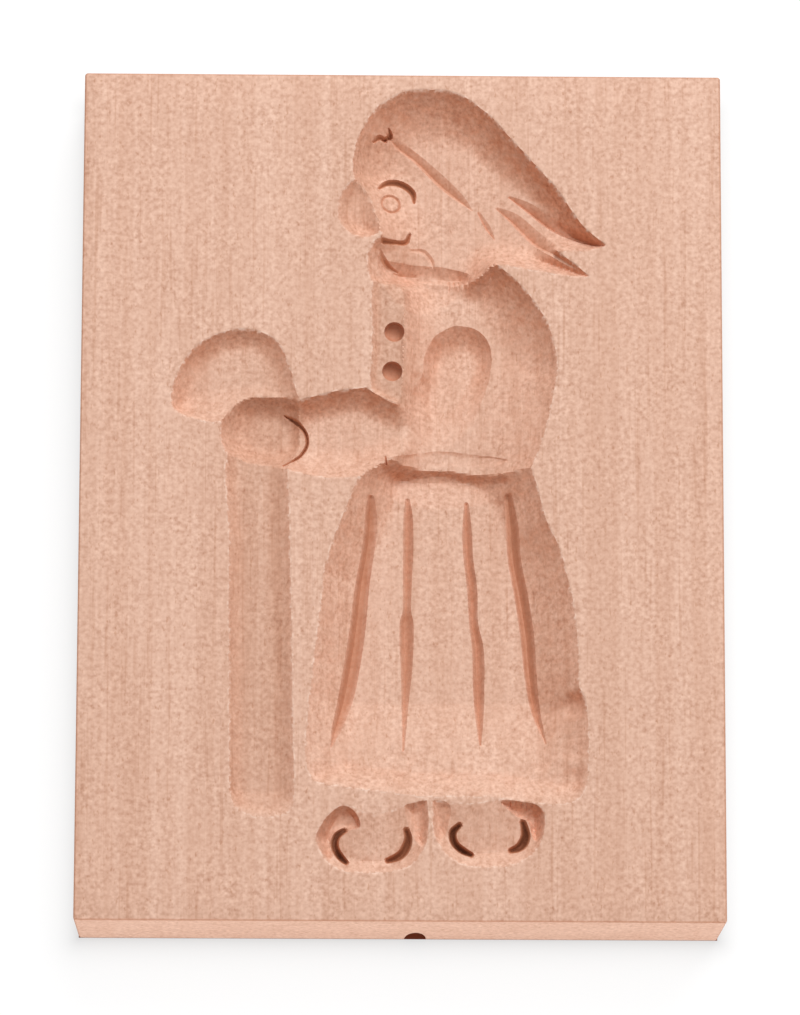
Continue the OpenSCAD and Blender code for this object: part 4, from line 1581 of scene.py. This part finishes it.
@dataclass
class Studio:
    """Floor, light and camera.

    Attributes:
        focal_px: Focal length in pixels of the picture.
        picture_height: Height of the picture in pixels.
        sensor: Size of the camera's sensor in millimetres.
        clip: Nearest and furthest distance that the camera sees, in metres.
        turn: Turns of the camera about x, y and z, in radians.
        shift: Place of the middle of the face before the camera, in millimetres.
        key_from: Direction in which the soft box stands.
        key_distance: Its distance in metres.
        key_size: Its side in metres.
        key_power: Its power in watts.
        fill_power: Power in watts of the low strip that lights the lower end.
        fill_size: Width and height of the strip in metres.
        fill_place: Place of the strip in metres.
        sky: Strength of the even light all round.
        shadow_reach: Distance over which the painted shadow fades by about two thirds, in millimetres.
        shadow_depth: How dark the painted shadow is at the block, from 0 to 1.
        floor_half: Half the side of the floor in metres.
        floor_glow: Brightness of the floor away from the block.
        floor_matt: Colour of the floor as it lights the object, linear.
        shadow_floor: Colour of the floor that takes the shadow, linear.
        hole_shade: Colour of the floor under the block, a painted shade seen through the hole, linear.
    """

    focal_px: float = 5710.27
    picture_height: float = 1015.0
    sensor: float = 36.0
    clip: Spot = (0.01, 50.0)
    turn: Triple = (-0.1983, 0.0151, -0.0029)
    shift: Triple = (0.2589, 2.4114, -885.8653)
    key_from: Triple = (0.21, 0.57, 0.79)
    key_distance: float = 1.7
    key_size: float = 1.0
    key_power: float = 21.9
    fill_power: float = 0.40
    fill_size: Spot = (0.4, 0.018)
    fill_place: Triple = (0.0, -0.30, 0.011)
    sky: float = 0.45
    shadow_reach: float = 2.0
    shadow_depth: float = 0.28
    floor_half: float = 3.0
    floor_glow: float = 0.93
    floor_matt: Triple = (0.72, 0.72, 0.72)
    shadow_floor: Triple = (0.12, 0.12, 0.12)
    hole_shade: Triple = (0.30, 0.09, 0.045)

    def camera(self, face_z: float) -> None:
        """Set up the camera of the picture.

        Args:
            face_z: Height of the carved face in millimetres.
        """
        rx, ry, rz = self.turn
        look = Matrix.Rotation(rz, 4, "Z") @ Matrix.Rotation(rx, 4, "X") @ Matrix.Rotation(ry, 4, "Y")
        lowered = Matrix.Translation(Vector((0, 0, -face_z)) * MM)
        view = Matrix.Translation(Vector(self.shift) * MM) @ look @ lowered
        data = bpy.data.cameras.new("camera")
        data.sensor_width = self.sensor
        data.lens = self.focal_px * self.sensor / self.picture_height
        data.clip_start, data.clip_end = self.clip
        made = put("camera", data)
        made.matrix_world = view.inverted()
        bpy.context.scene.camera = made

    def lamp(self, name: str, size: Spot, power: float, place: Vector, back: Vector) -> None:
        """Hang one flat lamp that the camera doesn't see.

        Args:
            name: Name of the lamp.
            size: Its width and height in metres.
            power: Its power in watts.
            place: Its place in metres.
            back: Direction that its back faces.
        """
        data = bpy.data.lights.new(name, "AREA")
        data.shape = "RECTANGLE"
        data.size, data.size_y = size
        data.energy = power
        made = put(name, data)
        made.location = place
        made.rotation_mode = "QUATERNION"
        made.rotation_quaternion = back.to_track_quat("Z", "Y")
        made.visible_camera = False

    def lamps(self) -> None:
        """Hang the soft box and the low strip, and light the room evenly."""
        aim = Vector(self.key_from).normalized()
        self.lamp("soft_box", (self.key_size, self.key_size), self.key_power, aim * self.key_distance, aim)
        self.lamp("low_strip", self.fill_size, self.fill_power, Vector(self.fill_place), Vector((0, -1, 0)))
        world = bpy.data.worlds.new("room")
        shade = Shade.fresh(world)
        white = (1.0, 1.0, 1.0)
        light = shade.node("Background", {"Color": white, "Strength": self.sky})
        self.split(shade, light, shade.node("Background", {"Color": white}), "OutputWorld")
        bpy.context.scene.world = world

    def split(self, shade: Shade, lighting: bpy.types.Node, seen: bpy.types.Node, target: str) -> None:
        """Give a world or floor one look for the rays that light the object and one for those that see it.

        Args:
            shade: Tree of the world or floor.
            lighting: Shader for the rays that only light the object.
            seen: Shader for the rays that see the background.
            target: Kind of the output node.
        """
        path = shade.node("LightPath").outputs
        direct = shade.maths("MAXIMUM", path["Is Camera Ray"], path["Is Glossy Ray"])
        share = shade.maths("MAXIMUM", direct, path["Is Transmission Ray"])
        both = shade.node("MixShader", {0: share, 1: lighting.outputs[0], 2: seen.outputs[0]})
        shade.node(target, {"Surface": both.outputs[0]})

    def glow(self, shade: Shade, half: Spot) -> tuple[Socket, Socket]:
        """Give the brightness of the floor: none under the block, a painted soft shadow by it and white
        further off.

        Args:
            shade: Tree of the floor's material.
            half: Half the width and half the height of the block, in millimetres.

        Returns:
            The brightness, and a mask that is 0 under the block.
        """
        place = shade.node("SeparateXYZ", {0: shade.node("TexCoord").outputs["Object"]}).outputs
        square = 0.0
        for at, reach in zip(place, half):
            gap = shade.maths("MAXIMUM", shade.maths("SUBTRACT", shade.maths("ABSOLUTE", at), reach * MM))
            square = shade.maths("ADD", shade.maths("MULTIPLY", gap, gap), square)
        # A shadow painted round the block's footprint, fading with the distance from it.
        fall = shade.maths("MULTIPLY", shade.maths("SQRT", square), -1.0 / (self.shadow_reach * MM))
        shadow = shade.maths("MULTIPLY", shade.maths("EXPONENT", fall), self.shadow_depth)
        lit = shade.maths("MULTIPLY", shade.maths("SUBTRACT", 1.0, shadow), self.floor_glow)
        outside = shade.maths("GREATER_THAN", square)
        return shade.maths("MULTIPLY", lit, outside), outside

    def floor(self, half: Spot) -> None:
        """Lay the white floor, with a soft shadow of the block painted round its footprint and a faint real
        one.

        Args:
            half: Half the width and half the height of the block, in millimetres.
        """
        side = self.floor_half
        mesh = bpy.data.meshes.new("floor")
        square = [(-side, -side, 0), (side, -side, 0), (side, side, 0), (-side, side, 0)]
        mesh.from_pydata(square, [], [(0, 1, 2, 3)])
        material = bpy.data.materials.new("white_floor")
        shade = Shade.fresh(material)
        lit, outside = self.glow(shade, half)
        # The floor under the block is a dark brown, which paints the shade seen through the hole.
        pale = shade.node("BsdfDiffuse", {"Color": shade.mix(outside, self.hole_shade, self.shadow_floor)})
        glow = shade.node("Emission", {"Strength": lit})
        white = shade.node("AddShader", {0: pale.outputs[0], 1: glow.outputs[0]})
        self.split(shade, shade.node("BsdfDiffuse", {"Color": self.floor_matt}), white, "OutputMaterial")
        mesh.materials.append(material)
        plane = put("floor", mesh)


def main() -> None:
    """Build the block and the studio, and report each piece."""
    logging.basicConfig(level=logging.INFO, format="%(message)s")
    mould = MouldBlock()
    block = mould.build()
    mould.dress(block, Wood())
    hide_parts("mould_block")
    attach(block, "root")
    LOG.info("carved_block: %d points, %d faces", len(block.data.vertices), len(block.data.polygons))
    LOG.info("carving: %s", ", ".join(cut.name for cut in (*mould.figure.hollows, *mould.figure.grooves)))
    studio = Studio()
    studio.camera(mould.thickness)
    studio.lamps()
    studio.floor((mould.width / 2, mould.height / 2))
    bpy.context.scene.view_settings.view_transform = "Standard"
    LOG.info("studio: camera, soft box, low strip and floor")


if __name__ == "__main__":
    main()
